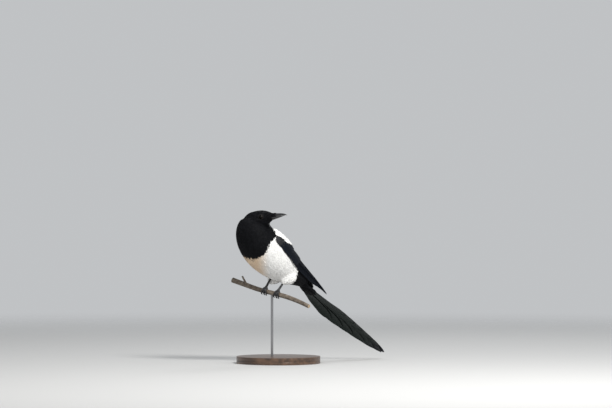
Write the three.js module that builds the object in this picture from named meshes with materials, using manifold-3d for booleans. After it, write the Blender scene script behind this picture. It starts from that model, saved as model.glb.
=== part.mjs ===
// A life-size Eurasian magpie, perched on a short cut length of branch that a plain display stand holds up.
// Millimetres and degrees, +Z up. The bird faces -Y and +X is its left. The origin is the centre of the base's
// underside. The bird's own points are written as (forward, left, up) from the top of the branch between the feet.
import * as THREE from "three";
import { mergeVertices } from "three/addons/utils/BufferGeometryUtils.js";
import Module from "manifold-3d";

const wasm = await Module();
wasm.setup();

// Driving dimensions
const gap = 0.3; // left between pieces that touch
const smallest = 0.04; // finer detail than this is smoothed away
const flat = 0.004; // the flattest triangle that may stay
const perchHeight = 146; // top of the branch above the floor
const feetForward = 18; // feet ahead of the middle of the base
const headTurn = 118; // bill to the left of straight ahead
const headLift = 9; // bill above level
const headMiddle = [34.5, 5, 145.5];
const eye = { radius: 6, forward: 4, left: 12.2, up: 1.4, lidRing: 5.2, lidThickness: 0.8 };
const tarsus = { length: 40, radius: 2.1, spread: 14.5, back: 26, out: 3.2 };
const toe = { radius: 2, tipRadius: 1.5, spacing: 5.4 };
const claw = { radius: 1.35, tipRadius: 0.25 };
const perch = { length: 186, radius: 4.8, turn: 15, slope: 12, thickEnd: 1.12, thinEnd: 0.84, sides: 12 };
const stand = { baseRadius: 84, baseHeight: 14, bevel: 3, rodRadius: 2.5, rodSunk: 10, sides: 40 };
const tail = { length: 250, thickness: 0.7, roof: 0.0045, roll: 0.2 };

// Stations of the smooth forms: [forward, left, up, half width, height above, depth below]
const bodyStations = [
  [-113, 0.6, 4.5, 5, 2.6, 4],
  [-103, 0.3, 11, 10.5, 6.5, 9],
  [-87, 0, 20.5, 16.5, 12.5, 16],
  [-62, 0, 34.5, 26, 22, 26],
  [-34, 0, 49, 35, 30, 35],
  [-8, 0, 64, 42, 37, 41],
  [18, 0, 82, 45, 41, 43],
  [36, 0, 98, 43.5, 41, 41],
  [44, 0, 113, 41, 39.5, 39.5],
  [45, 0, 126, 37.5, 36, 36],
  [44, 1.5, 135, 30, 30, 30],
  [43, 3, 141, 19, 19, 19],
];
// The head's own stations, from the nape to the bill, about the middle of the skull
const headStations = [
  [-33, 0, -14, 4, 4, 4],
  [-30, 0, -12, 10, 9, 9],
  [-23, 0, -6, 14.5, 14, 14],
  [-13, 0, -1, 16.6, 15.6, 16.5],
  [-2, 0, 0, 17, 15.4, 16],
  [8, 0, -0.5, 15.6, 14, 14.4],
  [16, 0, -1.2, 12, 11.2, 11.2],
  [22, 0, -2, 8.6, 8.2, 7.6],
  [26, 0, -2.4, 5.4, 5.4, 4.8],
];
// The folded left wing from shoulder to tip: its lower edge, the line along its middle and its upper edge
const wingEdges = {
  lower: [[34, 40, 104], [10, 45, 80], [-20, 41, 58], [-50, 33.5, 38], [-80, 26, 20], [-110, 20, 3], [-140, 17, -18]],
  middle: [[28, 41, 115], [-6, 41, 97], [-34, 37, 76], [-62, 31, 54], [-92, 26, 30], [-120, 21, 9], [-143, 18, -11]],
  upper: [[26, 29, 124], [-6, 20, 112], [-38, 13, 86], [-68, 9, 59], [-98, 7.5, 33], [-124, 9, 8], [-146, 11.5, -5]],
};
// Bill stations: [forward, height of the mouth line, half width, depth]
const upperBill = [
  [9, -2.4, 5, 6],
  [19, -2.4, 6, 7.6],
  [28, -2.2, 5, 7],
  [36, -2, 3.6, 5.6],
  [44, -2, 2.2, 4],
  [50, -2.4, 1.2, 2.5],
  [54, -3.6, 0.35, 0.7],
];
const lowerBill = [
  [10.5, -2.4, 4.4, 4.6],
  [19, -2.4, 5.4, 5.8],
  [28, -2.2, 4.4, 5.2],
  [36, -2, 3, 3.8],
  [43, -2, 1.7, 2.2],
  [49.5, -2.4, 0.5, 0.6],
];

const rad = THREE.MathUtils.degToRad;
const lerp = THREE.MathUtils.lerp;

// A point given as forward, left and up
function at(forward, left, up) {
  return new THREE.Vector3(left, -forward, up);
}

// Reads a list of numbers at a share of its length, smoothly
function along(values, share) {
  const last = values.length - 1;
  const place = THREE.MathUtils.clamp(share, 0, 1) * last;
  const i = Math.min(Math.floor(place), last - 1);
  const blend = place - i;
  const before = values[Math.max(i - 1, 0)];
  const after = values[Math.min(i + 2, last)];
  const slopeIn = (values[i + 1] - before) / 2;
  const slopeOut = (after - values[i]) / 2;
  const a = 2 * values[i] - 2 * values[i + 1] + slopeIn + slopeOut;
  const b = -3 * values[i] + 3 * values[i + 1] - 2 * slopeIn - slopeOut;
  return ((a * blend + b) * blend + slopeIn) * blend + values[i];
}

// A rounded form about a line: returns point(share along it, angle up from the left side, lift off the surface)
function roundForm(stations, squareness = 0.94) {
  const column = (k) => stations.map((station) => station[k]);
  const [forward, left, up, width, above, below] = [0, 1, 2, 3, 4, 5].map(column);
  const middle = (share) => at(along(forward, share), along(left, share), along(up, share));
  return (share, angle, lift = 0) => {
    const centre = middle(share);
    const step = 0.004;
    const heading = middle(Math.min(share + step, 1)).sub(middle(Math.max(share - step, 0))).normalize();
    const side = new THREE.Vector3(1, 0, 0).addScaledVector(heading, -heading.x).normalize();
    const top = new THREE.Vector3().crossVectors(heading, side);
    const swell = (v) => Math.sign(v) * Math.abs(v) ** squareness;
    const height = Math.sin(angle) >= 0 ? along(above, share) : along(below, share);
    return centre
      .addScaledVector(side, (along(width, share) + lift) * swell(Math.cos(angle)))
      .addScaledVector(top, (height + lift) * swell(Math.sin(angle)));
  };
}

// A closed skin over rings of points that all have as many points
function skinOver(rings) {
  const count = rings[0].length;
  const points = rings.flat();
  const middle = (ring) => ring.reduce((sum, p) => sum.add(p), new THREE.Vector3()).divideScalar(count);
  points.push(middle(rings[0]), middle(rings.at(-1)));
  const faces = [];
  for (let i = 0; i + 1 < rings.length; i++)
    for (let j = 0; j < count; j++) {
      const next = (j + 1) % count;
      const [a, b, c, d] = [i * count + j, i * count + next, (i + 1) * count + next, (i + 1) * count + j];
      faces.push(a, b, c, a, c, d);
    }
  const lastRing = (rings.length - 1) * count;
  for (let j = 0; j < count; j++) {
    const next = (j + 1) % count;
    faces.push(points.length - 2, next, j, points.length - 1, lastRing + j, lastRing + next);
  }
  return solidOf(points, faces);
}

// A manifold-3d solid from points and faces, turned to face outwards
function solidOf(points, faces) {
  const make = (triVerts) =>
    new wasm.Manifold(
      new wasm.Mesh({
        numProp: 3,
        vertProperties: new Float32Array(points.flatMap((p) => p.toArray())),
        triVerts: new Uint32Array(triVerts),
      }),
    );
  const solid = make(faces);
  if (solid.volume() > 0) return solid;
  const turned = [];
  for (let i = 0; i < faces.length; i += 3) turned.push(faces[i], faces[i + 2], faces[i + 1]);
  return make(turned);
}

// The solid of a three.js geometry, after a move given as a matrix
function solidFrom(geometry, matrix = new THREE.Matrix4()) {
  const bare = geometry.clone().applyMatrix4(matrix);
  bare.deleteAttribute("normal");
  bare.deleteAttribute("uv");
  const merged = mergeVertices(bare, 1e-4);
  const position = merged.getAttribute("position");
  const points = Array.from({ length: position.count }, (_, i) => new THREE.Vector3().fromBufferAttribute(position, i));
  return solidOf(points, Array.from(merged.index.array));
}

// A rounded form as a solid, from one share of its line to another, swollen by lift
function formSolid(form, rings, sides, lift = 0, from = 0, to = 1) {
  return skinOver(
    Array.from({ length: rings + 1 }, (_, i) =>
      Array.from({ length: sides }, (_, j) => form(lerp(from, to, i / rings), ((j + 0.3) / sides) * 2 * Math.PI, lift)),
    ),
  );
}

// A round rod of changing radius along points
function rod(points, radii, rings, sides, lift = 0) {
  const curve = new THREE.CatmullRomCurve3(points);
  const frames = curve.computeFrenetFrames(rings);
  return skinOver(
    Array.from({ length: rings + 1 }, (_, i) => {
      const centre = curve.getPointAt(i / rings);
      if (i === 0) centre.addScaledVector(frames.tangents[i], -lift);
      if (i === rings) centre.addScaledVector(frames.tangents[i], lift);
      const radius = along(radii, i / rings) + lift;
      return Array.from({ length: sides }, (_, j) => {
        const angle = (j / sides) * 2 * Math.PI;
        return centre
          .clone()
          .addScaledVector(frames.normals[i], radius * Math.cos(angle))
          .addScaledVector(frames.binormals[i], radius * Math.sin(angle));
      });
    }),
  );
}

// A thin closed sheet: face(i, j, side) gives a point of its under (0) or outer (1) face on a grid
function sheet(lengthSteps, widthSteps, face) {
  const points = [];
  const faces = [];
  const columns = widthSteps + 1;
  const index = (i, j, side) => (i * columns + j) * 2 + side;
  for (let i = 0; i <= lengthSteps; i++)
    for (let j = 0; j <= widthSteps; j++) points.push(face(i, j, 0), face(i, j, 1));
  const quad = (a, b, c, d) => faces.push(a, b, c, a, c, d);
  for (let i = 0; i < lengthSteps; i++)
    for (let j = 0; j < widthSteps; j++) {
      quad(index(i, j, 1), index(i + 1, j, 1), index(i + 1, j + 1, 1), index(i, j + 1, 1));
      // The same diagonal as on the outer face, turned over
      const [a, b, c, d] = [index(i, j, 0), index(i + 1, j, 0), index(i + 1, j + 1, 0), index(i, j + 1, 0)];
      faces.push(a, c, b, a, d, c);
    }
  for (let i = 0; i < lengthSteps; i++) {
    quad(index(i, 0, 0), index(i + 1, 0, 0), index(i + 1, 0, 1), index(i, 0, 1));
    quad(index(i, widthSteps, 1), index(i + 1, widthSteps, 1), index(i + 1, widthSteps, 0), index(i, widthSteps, 0));
  }
  for (let j = 0; j < widthSteps; j++) {
    quad(index(0, j, 1), index(0, j + 1, 1), index(0, j + 1, 0), index(0, j, 0));
    quad(index(lengthSteps, j, 0), index(lengthSteps, j + 1, 0), index(lengthSteps, j + 1, 1), index(lengthSteps, j, 1));
  }
  return solidOf(points, faces);
}

// The height of a solid's flattest triangle
function flattest(solid) {
  const { vertProperties, triVerts, numProp } = solid.getMesh();
  const corner = (k) => new THREE.Vector3().fromArray(vertProperties, triVerts[k] * numProp);
  let least = Infinity;
  for (let k = 0; k < triVerts.length; k += 3) {
    const triangle = new THREE.Triangle(corner(k), corner(k + 1), corner(k + 2));
    const longest = Math.max(
      triangle.a.distanceTo(triangle.b),
      triangle.b.distanceTo(triangle.c),
      triangle.c.distanceTo(triangle.a),
    );
    least = Math.min(least, (2 * triangle.getArea()) / longest);
  }
  return least;
}

// The largest closed surface of a solid, with the slivers that cuts leave taken out
function largest(solid) {
  const pick = (bodies) => bodies.reduce((best, body) => (body.volume() > best.volume() ? body : best));
  let kept = pick(solid.decompose());
  for (const tolerance of [1, 1.25, 1.6, 2, 2.5, 3].map((times) => times * smallest)) {
    kept = pick(kept.asOriginal().simplify(tolerance).decompose());
    if (flattest(kept) > flat) break;
  }
  return kept;
}

const mirrored = (solid) => solid.mirror([1, 0, 0]);

// Feathers
function seeded(seed) {
  let state = seed;
  return (spread) => {
    state = (Math.imul(state, 1664525) + 1013904223) >>> 0;
    return (state / 2 ** 32 - 0.5) * 2 * spread;
  };
}

// Shares of a blade's length, and of its full width there
const longBlade = [[0, 0.3], [0.2, 0.8], [0.48, 1], [0.78, 1], [0.91, 0.78], [0.975, 0.42], [1, 0.12]];
const shortBlade = [[0, 0.35], [0.34, 0.92], [0.74, 1], [0.92, 0.7], [1, 0.2]];

// One vane: a thin blade laid on a surface, highest along its lower edge where it covers the next one
function vane(point, { root, tip, half, level, tilt = 0, blade = longBlade, thickness = 0.55 }) {
  const steps = blade.length - 1;
  return sheet(steps, 2, (i, j, side) => {
    const [share, breadth] = blade[i];
    const offset = (j - 1) * half * breadth;
    const length = lerp(root[0], tip[0], share);
    const thick = thickness * (i === steps ? 0.6 : 1) * (j === 1 ? 1.15 : 1);
    const height = level(length) - tilt * offset + (side ? thick / 2 : -thick / 2);
    return point(length, lerp(root[1], tip[1], share) + offset, height);
  });
}

// Reads a height at a length from pairs of [length, height]
function profile(pairs) {
  return (length) => {
    const after = pairs.findIndex(([at]) => at > length);
    if (after === 0) return pairs[0][1];
    if (after < 0) return pairs.at(-1)[1];
    const [[from, low], [to, high]] = [pairs[after - 1], pairs[after]];
    return lerp(low, high, (length - from) / (to - from));
  };
}

// Body, neck and head
const body = roundForm(bodyStations);
const neckNormal = at(0.25, 0, 0.968).normalize();
const neckOffset = neckNormal.dot(at(42, 0, 116));

const headPlace = new THREE.Matrix4()
  .makeTranslation(at(...headMiddle))
  .multiply(new THREE.Matrix4().makeRotationZ(rad(headTurn)))
  .multiply(new THREE.Matrix4().makeRotationX(rad(-headLift)));

const headForm = roundForm(headStations, 0.97);
const headPoint = (share, angle, lift) => headForm(share, angle, lift).applyMatrix4(headPlace);

// One mandible: the mouth line is its flat side, and sign is 1 above it and -1 below
function mandible(stations, sign, lift = 0) {
  const arcs = 8;
  const column = (k) => stations.map((station) => station[k]);
  const [forward, mouth, width, depth] = [0, 1, 2, 3].map(column);
  const rings = 12;
  return skinOver(
    Array.from({ length: rings + 1 }, (_, i) => {
      const share = i / rings;
      const level = along(mouth, share) + sign * (gap / 2 - lift);
      const ring = Array.from({ length: arcs + 1 }, (_, j) => {
        const angle = (j / arcs) * Math.PI;
        return at(
          along(forward, share) + (i === rings ? lift : 0),
          (along(width, share) + lift) * Math.cos(angle),
          level + sign * (along(depth, share) + 2 * lift) * Math.sin(angle) ** 1.15,
        );
      });
      ring.push(at(along(forward, share), 0, level));
      return ring.map((p) => p.applyMatrix4(headPlace));
    }),
  );
}

// The bristles that hide the nostrils: how far each turns down from the ridge of the bill, and its tip
const bristles = [[-68, 29.5], [-45, 31], [-22, 32.5], [0, 33.5], [22, 32.8], [45, 31.2], [68, 29.2]];

// A point over the upper bill: forward, turned down from its ridge in tenths of a degree, and height off it
function ridgePoint(forward, turned, height) {
  const places = upperBill.map(([place]) => place);
  const share = Array.from({ length: 101 }, (_, i) => i / 100).find((part) => along(places, part) >= forward) ?? 1;
  const [mouth, width, depth] = [1, 2, 3].map((k) => along(upperBill.map((station) => station[k]), share));
  const angle = rad(turned * 10);
  return at(
    forward,
    (width + height) * Math.sin(angle),
    mouth + (depth + height) * Math.max(0, Math.cos(angle)) ** 1.15,
  ).applyMatrix4(headPlace);
}

function nasalBristles() {
  return bristles.map(([turned, tip]) =>
    vane(ridgePoint, {
      root: [16, turned / 10],
      tip: [tip, turned / 10],
      half: 0.95,
      level: profile([[16, 1.2], [24, 0.9], [34, 0.72]]),
      blade: shortBlade,
      thickness: 0.5,
    }),
  );
}

function eyeBall(side, lift = 0) {
  const ball = new THREE.SphereGeometry(eye.radius + lift, 16, 10);
  const place = headPlace.clone().multiply(new THREE.Matrix4().makeTranslation(at(eye.forward, side * eye.left, eye.up)));
  return solidFrom(ball, place);
}

function lidRing(side, lift = 0) {
  const ring = new THREE.TorusGeometry(eye.lidRing, eye.lidThickness + lift, 5, 19);
  const facing = new THREE.Matrix4().makeRotationY(rad(90));
  const clear = eye.radius + gap + eye.lidThickness + 0.1;
  const outward = side * (eye.left + Math.sqrt(clear ** 2 - eye.lidRing ** 2));
  const place = headPlace
    .clone()
    .multiply(new THREE.Matrix4().makeTranslation(at(eye.forward, outward, eye.up)))
    .multiply(facing);
  return solidFrom(ring, place);
}

// Legs, in the frame of the branch that they grip
const perchLine = new THREE.Vector3(
  Math.cos(rad(perch.turn)) * Math.cos(rad(perch.slope)),
  Math.sin(rad(perch.turn)) * Math.cos(rad(perch.slope)),
  -Math.sin(rad(perch.slope)),
);
const perchUp = new THREE.Vector3(0, 0, 1).addScaledVector(perchLine, -perchLine.z).normalize();
const perchAhead = new THREE.Vector3().crossVectors(perchLine, perchUp);
const perchMiddle = perchUp.clone().multiplyScalar(-perch.radius);

// A point round the branch: angle 90 is its top and 0 its front
function roundPerch(length, angle, radius) {
  return perchMiddle
    .clone()
    .addScaledVector(perchLine, length)
    .addScaledVector(perchAhead, radius * Math.cos(rad(angle)))
    .addScaledVector(perchUp, radius * Math.sin(rad(angle)));
}

// Toes of one foot: where each lies along the branch, and the angles at which toe and claw end
const toes = {
  inner: { shift: -1, from: 81, to: -42, clawTo: -92 },
  middle: { shift: 0.07, from: 86, to: -60, clawTo: -108 },
  outer: { shift: 1.04, from: 78, to: -38, clawTo: -88 },
  hind: { shift: -0.11, from: 97, to: 186, clawTo: 230 },
};

function arcPoints(length, spread, from, to, radiusFrom, radiusTo, count) {
  return Array.from({ length: count }, (_, i) => {
    const share = i / (count - 1);
    return roundPerch(length + spread * share, lerp(from, to, share), lerp(radiusFrom, radiusTo, share));
  });
}

function footParts(side) {
  const middle = side * tarsus.spread;
  const track = perch.radius + toe.radius + gap;
  const parts = { claws: {} };
  const boss = [track - 0.2, track + 1.6, track + 3.2].map((radius) => roundPerch(middle, 90, radius));
  let foot = rod(boss, [3.2, 3.1, 2.8], 3, 10);
  for (const [name, { shift, from, to, clawTo }] of Object.entries(toes)) {
    const start = middle + shift * toe.spacing * 0.35;
    const spread = shift * toe.spacing * 0.65;
    const toeRod = rod(
      arcPoints(start, spread, from, to, track, track - 0.3, 7),
      [toe.radius, toe.radius, toe.radius * 0.94, toe.tipRadius],
      8,
      7,
    );
    foot = foot.add(toeRod);
    const clawTrack = perch.radius + claw.radius + gap;
    const end = start + spread;
    const nearClaw = (to < from ? -1 : 1) * 3;
    parts.claws[name] = rod(
      arcPoints(end, 0, to - nearClaw * 0.2, clawTo, track - 0.3, clawTrack + 1.2, 5),
      [claw.radius, claw.radius * 0.8, claw.tipRadius],
      6,
      6,
    );
    const pocket = rod(
      arcPoints(end, 0, to - nearClaw * 0.2 - nearClaw * 0.9, clawTo, track - 0.3, clawTrack + 1.2, 5),
      [claw.radius + gap, claw.radius + gap, claw.tipRadius + gap],
      6,
      6,
    );
    foot = foot.subtract(pocket);
  }
  parts.foot = foot.subtract(tarsusRod(side, gap));
  return parts;
}

const footTop = (side) => roundPerch(side * tarsus.spread, 90, perch.radius + toe.radius + 2.4);

function tarsusRod(side, lift = 0) {
  const foot = footTop(side);
  const rise = Math.sqrt(tarsus.length ** 2 - tarsus.back ** 2 - tarsus.out ** 2);
  const ankle = foot.clone().add(at(-tarsus.back, side * tarsus.out, rise));
  return rod([foot, foot.clone().lerp(ankle, 0.5), ankle], [tarsus.radius * 1.2, tarsus.radius, tarsus.radius * 1.15], 6, 10, lift);
}

function thighForm(side, lift = 0) {
  const points = [
    at(-43, side * 19, 32),
    at(-33, side * 21.5, 28),
    at(-21, side * 20, 21.5),
    at(-11, side * 17, 14.5),
  ];
  return rod(points, [6, 14, 11.5, 4.2], 9, 14, lift);
}

// Wings
const wing = { run: 213, margin: [1, 5], tilt: 0.215 };
// Middle line of each flight feather above the wing's lower edge, and how far back it reaches
const flights = {
  primaries: { across: [3.2, 5.3, 7.4, 9.5, 11.6, 13.7], tips: [186, 200, 208, 206, 200, 192], half: 4.5, sink: 0.45 },
  secondaries: { across: [17.8, 22, 26.2, 30.4, 34.6], tips: [179, 170, 159, 146, 132], half: 6.1, sink: 0 },
  tertials: { across: [38.8, 42.8], tips: [114, 98], half: 6, sink: 0 },
};
const coverts = {
  greater: { first: 5.2, pitch: 5.1, count: 8, root: 43, tip: 91, half: 5.6 },
  median: { first: 8, pitch: 5.5, count: 7, root: 19, tip: 58, half: 5.8 },
};
const wingLevels = {
  flight: profile([[60, -5.6], [92, -5.2], [150, -2.6], [207, -1.8]]),
  greater: profile([[43, -4.4], [60, -3.3], [92, -2.2]]),
  median: profile([[19, -2.2], [32, -1.6], [58, -0.5]]),
  core: profile([[0, -2.6], [6, -0.6], [16, -0.2], [22, -1], [33, -3], [45, -3.5], [58, -4.4], [70, -5.6], [82, -7]]),
};
const wingThick = [5, 9, 10.5, 10.5, 9.5, 8.5, 7.5, 6.5, 6];

function edgePoint(edge, share) {
  const [forward, left, up] = [0, 1, 2].map((k) => along(wingEdges[edge].map((point) => point[k]), share));
  return at(forward, left, up);
}

// A point of the folded left wing: share of its run, share across from its lower edge, and height off it
function wingPoint(share, across, height) {
  const on = (s, t) => {
    const [low, middle, high] = ["lower", "middle", "upper"].map((edge) => edgePoint(edge, s));
    const control = middle.multiplyScalar(2).addScaledVector(low, -0.5).addScaledVector(high, -0.5);
    return low
      .multiplyScalar((1 - t) ** 2)
      .addScaledVector(control, 2 * t * (1 - t))
      .addScaledVector(high, t ** 2);
  };
  const step = 0.01;
  const s = THREE.MathUtils.clamp(share, step, 1 - step);
  const rearward = on(s + step, across).sub(on(s - step, across));
  const upward = on(s, across + step).sub(on(s, across - step));
  const outward = new THREE.Vector3().crossVectors(rearward, upward).normalize();
  if (outward.x < 0) outward.negate();
  return on(s, across)
    .addScaledVector(rearward, (share - s) / (2 * step))
    .addScaledVector(outward, height);
}

const wingWidths = Array.from({ length: 33 }, (_, i) => {
  const rib = Array.from({ length: 9 }, (_, j) => wingPoint(i / 32, j / 8, 0));
  return rib.slice(1).reduce((sum, p, j) => sum + p.distanceTo(rib[j]), 0);
});

// The same in millimetres: length from the shoulder, and distance up from the lower edge
function wingPlace(length, across, height) {
  const share = length / wing.run;
  return wingPoint(share, across / along(wingWidths, share), height);
}

// Ribs of the wing's room and of its arm, as shares of the run
const wingRibs = [0, 0.015, 0.035, 0.065, 0.1, 0.15, 0.205, 0.26, 0.32, 0.385, 0.46, 0.54, 0.62, 0.7, 0.78, 0.86, 0.93, 1];

// The room that a folded wing takes, with its own flat inner side, or the part of it that its arm fills
function wingPad(lift = 0, top = () => 1.2, reach = 1) {
  const ribs = wingRibs.filter((rib) => rib <= reach);
  const widthSteps = 7;
  return sheet(ribs.length - 1, widthSteps, (i, j, side) => {
    const end = i === 0 ? -lift : i === ribs.length - 1 ? lift : 0;
    const share = ribs[i] + end / wing.run;
    const margin = lerp(wing.margin[0], wing.margin[1], THREE.MathUtils.smoothstep(share, 0.25, 0.45)) + lift;
    const width = along(wingWidths, share);
    const inset = 0.3 * width * (1 - Math.sqrt(1 - THREE.MathUtils.clamp(1 - share / 0.1, 0, 1) ** 2));
    const edge = j / widthSteps;
    const round = Math.sqrt(Math.max(0, 1 - (2 * edge - 1) ** 4));
    const thick = along(wingThick, share) * (0.74 + 0.26 * round);
    const across = lerp(inset - margin, width - inset + margin, edge);
    return wingPoint(share, across / width, side ? top(share * wing.run) + lift : -thick - lift);
  });
}

function foldedWing(seed) {
  const vary = seeded(seed);
  const vanes = [];
  const { flight, greater, median, core } = wingLevels;
  Object.values(flights).forEach(({ across, tips, half, sink }) =>
    across.forEach((place, k) => {
      const below = sink * (across.length - 1 - k);
      vanes.push(
        vane(wingPlace, {
          root: [60 + vary(2), place * 0.96 + 1],
          tip: [tips[k] + vary(1.2), place + vary(0.12)],
          half: half * (1 + vary(0.03)),
          level: (length) => flight(length) - below,
          tilt: wing.tilt,
        }),
      );
    }),
  );
  for (const [name, level] of [["greater", greater], ["median", median]]) {
    const { first, pitch, count, root, tip, half } = coverts[name];
    for (let k = 0; k < count; k++) {
      const across = first + pitch * k;
      vanes.push(
        vane(wingPlace, {
          root: [root + vary(1), across * 0.9],
          tip: [tip + vary(1.6) - Math.abs(k / (count - 1) - 0.45) * 8, across + vary(0.15)],
          half: half * (1 + vary(0.04)),
          level,
          tilt: wing.tilt * 0.85,
          blade: shortBlade,
        }),
      );
    }
  }
  const arm = wingPad(-0.2, core, 0.385);
  // No vane leaves the wing's own room
  return vanes.reduce((whole, blade) => whole.add(blade), arm).intersect(wingPad());
}

// Tail
const tailRoot = at(-84, 0, 17);
const tailMiddle = at(-181, 7, -50);
const tailTip = at(-298, 23, -132);
const tailLine = new THREE.CatmullRomCurve3([tailRoot, tailMiddle, tailTip]);

// A point of the tail: along from its root, across to the left, and height off its top
function tailPoint(length, across, height) {
  const share = length / tail.length;
  const heading = tailLine.getTangent(THREE.MathUtils.clamp(share, 0, 1));
  const centre = tailLine.getPoint(THREE.MathUtils.clamp(share, 0, 1));
  if (share < 0) centre.addScaledVector(heading, length);
  if (share > 1) centre.addScaledVector(heading, length - tail.length);
  const roll = -tail.roll * THREE.MathUtils.smoothstep(share, 0.08, 0.5);
  const left = new THREE.Vector3(1, 0, 0).addScaledVector(heading, -heading.x).normalize();
  left.applyAxisAngle(heading, roll);
  const top = new THREE.Vector3().crossVectors(left, heading).normalize();
  return centre.addScaledVector(left, across).addScaledVector(top, height - tail.roof * across ** 2);
}

const tailHalf = [12, 15, 22.5, 30, 32.5, 32, 30, 26, 19, 9];

// The room that the tail takes
function tailPlate(lift = 0, reach = 1) {
  const lengthSteps = 16;
  const widthSteps = 6;
  return sheet(lengthSteps, widthSteps, (i, j, side) => {
    const share = lerp(0, reach, i / lengthSteps);
    const half = along(tailHalf, share) + lift;
    const thick = lerp(10, 5.5, Math.min(share * 4, 1));
    return tailPoint(share * tail.length, lerp(-half, half, j / widthSteps), side ? 1.2 + lift : -thick - lift);
  });
}

// Tail feathers from the middle pair outwards: how far each reaches, and its place across the closed tail
const tailFeathers = {
  reach: [250, 232, 209, 184, 158, 130],
  across: [2.4, 7.4, 11.4, 14.8, 17.8, 20.4],
  half: [13, 12.6, 12.2, 11.7, 11.2, 10.6],
  drop: 0.92,
};
const tailBlade = [[0, 0.18], [0.16, 0.62], [0.4, 1], [0.76, 1], [0.9, 0.74], [0.97, 0.4], [1, 0.12]];

function spreadTail() {
  const vary = seeded(23);
  const { reach, across, half, drop } = tailFeathers;
  const rump = tailRump();
  const blades = [];
  for (const side of [1, -1])
    reach.forEach((length, k) => {
      const level = -0.6 - drop * k - (side < 0 && k === 0 ? drop : 0) - (k > 0 ? drop : 0);
      blades.push(
        vane(tailPoint, {
          root: [14, side * (1.6 + 1.1 * k)],
          tip: [length + vary(2), side * (across[k] + vary(0.3))],
          half: half[k],
          level: () => level,
          blade: tailBlade,
          thickness: 0.56,
        }),
      );
    });
  return blades.reduce((whole, blade) => whole.add(blade), rump);
}

// The root of the tail with the coverts that hold its feathers
function tailRump(lift = 0) {
  const lengthSteps = 8;
  const around = 16;
  const halves = [9, 12, 14.5, 16.5, 16, 11];
  const above = [2.5, 3, 2.8, 1.8, 0.8, -0.5];
  const below = [7.5, 10, 11, 10.6, 9, 7];
  return skinOver(
    Array.from({ length: lengthSteps + 1 }, (_, i) => {
      const share = i / lengthSteps;
      const [half, high, low] = [halves, above, below].map((list) => along(list, share));
      return Array.from({ length: around }, (_, j) => {
        const angle = ((j + 0.5) / around) * 2 * Math.PI;
        const swell = (v) => Math.sign(v) * Math.abs(v) ** 0.85;
        const height = lerp(-low - lift, high + lift, (swell(Math.sin(angle)) + 1) / 2);
        return tailPoint(lerp(-3 - lift, 46 + lift, share), (half + lift) * swell(Math.cos(angle)), height);
      });
    }),
  );
}

// Branch and stand
function branch(lift = 0) {
  const half = perch.length / 2;
  const straight = 32;
  const wander = [
    [-half, 5.5, 3],
    [-half * 0.72, 3, 1.2],
    [-straight, 0, 0],
    [0, 0, 0],
    [straight, 0, 0],
    [half * 0.7, -2.5, 2],
    [half, -6.5, 5],
  ];
  const points = wander.map(([length, up, ahead]) =>
    roundPerch(length, 0, 0).addScaledVector(perchUp, up).addScaledVector(perchAhead, ahead),
  );
  const radii = [perch.thickEnd, 1.05, 1, 1, 1, 0.92, perch.thinEnd].map((share) => share * perch.radius);
  return rod(points, radii, 20, perch.sides, lift);
}

function stub() {
  const root = roundPerch(-58, 60, 1);
  const tip = roundPerch(-70, 70, 20);
  return rod([root, root.clone().lerp(tip, 0.5), tip], [2.6, 2.1, 1.9], 4, 8);
}

const rodTop = perchMiddle.z - perch.radius * 0.2;

function standRod(lift = 0) {
  const bottom = stand.baseHeight - stand.rodSunk - perchHeight;
  const shape = new THREE.CylinderGeometry(stand.rodRadius + lift, stand.rodRadius + lift, rodTop - bottom + 2 * lift, 24);
  const place = new THREE.Matrix4()
    .makeTranslation(0, 0, (rodTop + bottom) / 2)
    .multiply(new THREE.Matrix4().makeRotationX(rad(90)));
  return solidFrom(shape, place);
}

function standBase() {
  const { baseRadius: r, baseHeight: h, bevel } = stand;
  const outline = [
    [0, 0],
    [r - 1, 0],
    [r, 1],
    [r, h - bevel],
    [r - bevel * 0.3, h - bevel * 0.3],
    [r - bevel, h],
    [0, h],
  ].map(([x, y]) => new THREE.Vector2(x, y));
  const shape = new THREE.LatheGeometry(outline, stand.sides);
  const place = new THREE.Matrix4()
    .makeTranslation(0, feetForward, -perchHeight)
    .multiply(new THREE.Matrix4().makeRotationX(rad(90)));
  return solidFrom(shape, place);
}

// Every piece, cut clear of its neighbours
const finishes = {
  black: { color: 0x0b0c10, roughness: 0.42, metalness: 0 },
  glossBlack: { color: 0x101217, roughness: 0.28, metalness: 0 },
  white: { color: 0xe9e6e0, roughness: 0.7, metalness: 0 },
  eye: { color: 0x120b07, roughness: 0.08, metalness: 0 },
  horn: { color: 0x17181b, roughness: 0.3, metalness: 0 },
  leg: { color: 0x131316, roughness: 0.5, metalness: 0 },
  bark: { color: 0x6b5d50, roughness: 0.85, metalness: 0 },
  steel: { color: 0x9a9ca0, roughness: 0.35, metalness: 1 },
  wood: { color: 0x4a3526, roughness: 0.45, metalness: 0 },
};

const bird = new THREE.Group();

function addNode(name, solid, finish) {
  const kept = largest(solid);
  const { vertProperties, triVerts, numProp } = kept.getMesh();
  const position = new Float32Array((vertProperties.length / numProp) * 3);
  for (let i = 0; i < position.length / 3; i++)
    position.set(vertProperties.subarray(i * numProp, i * numProp + 3), i * 3);
  const geometry = new THREE.BufferGeometry()
    .setAttribute("position", new THREE.BufferAttribute(position, 3))
    .setIndex(new THREE.BufferAttribute(triVerts, 1));
  geometry.computeVertexNormals();
  const mesh = new THREE.Mesh(geometry, new THREE.MeshStandardMaterial(finishes[finish]));
  mesh.name = name;
  bird.add(mesh);
}

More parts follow.
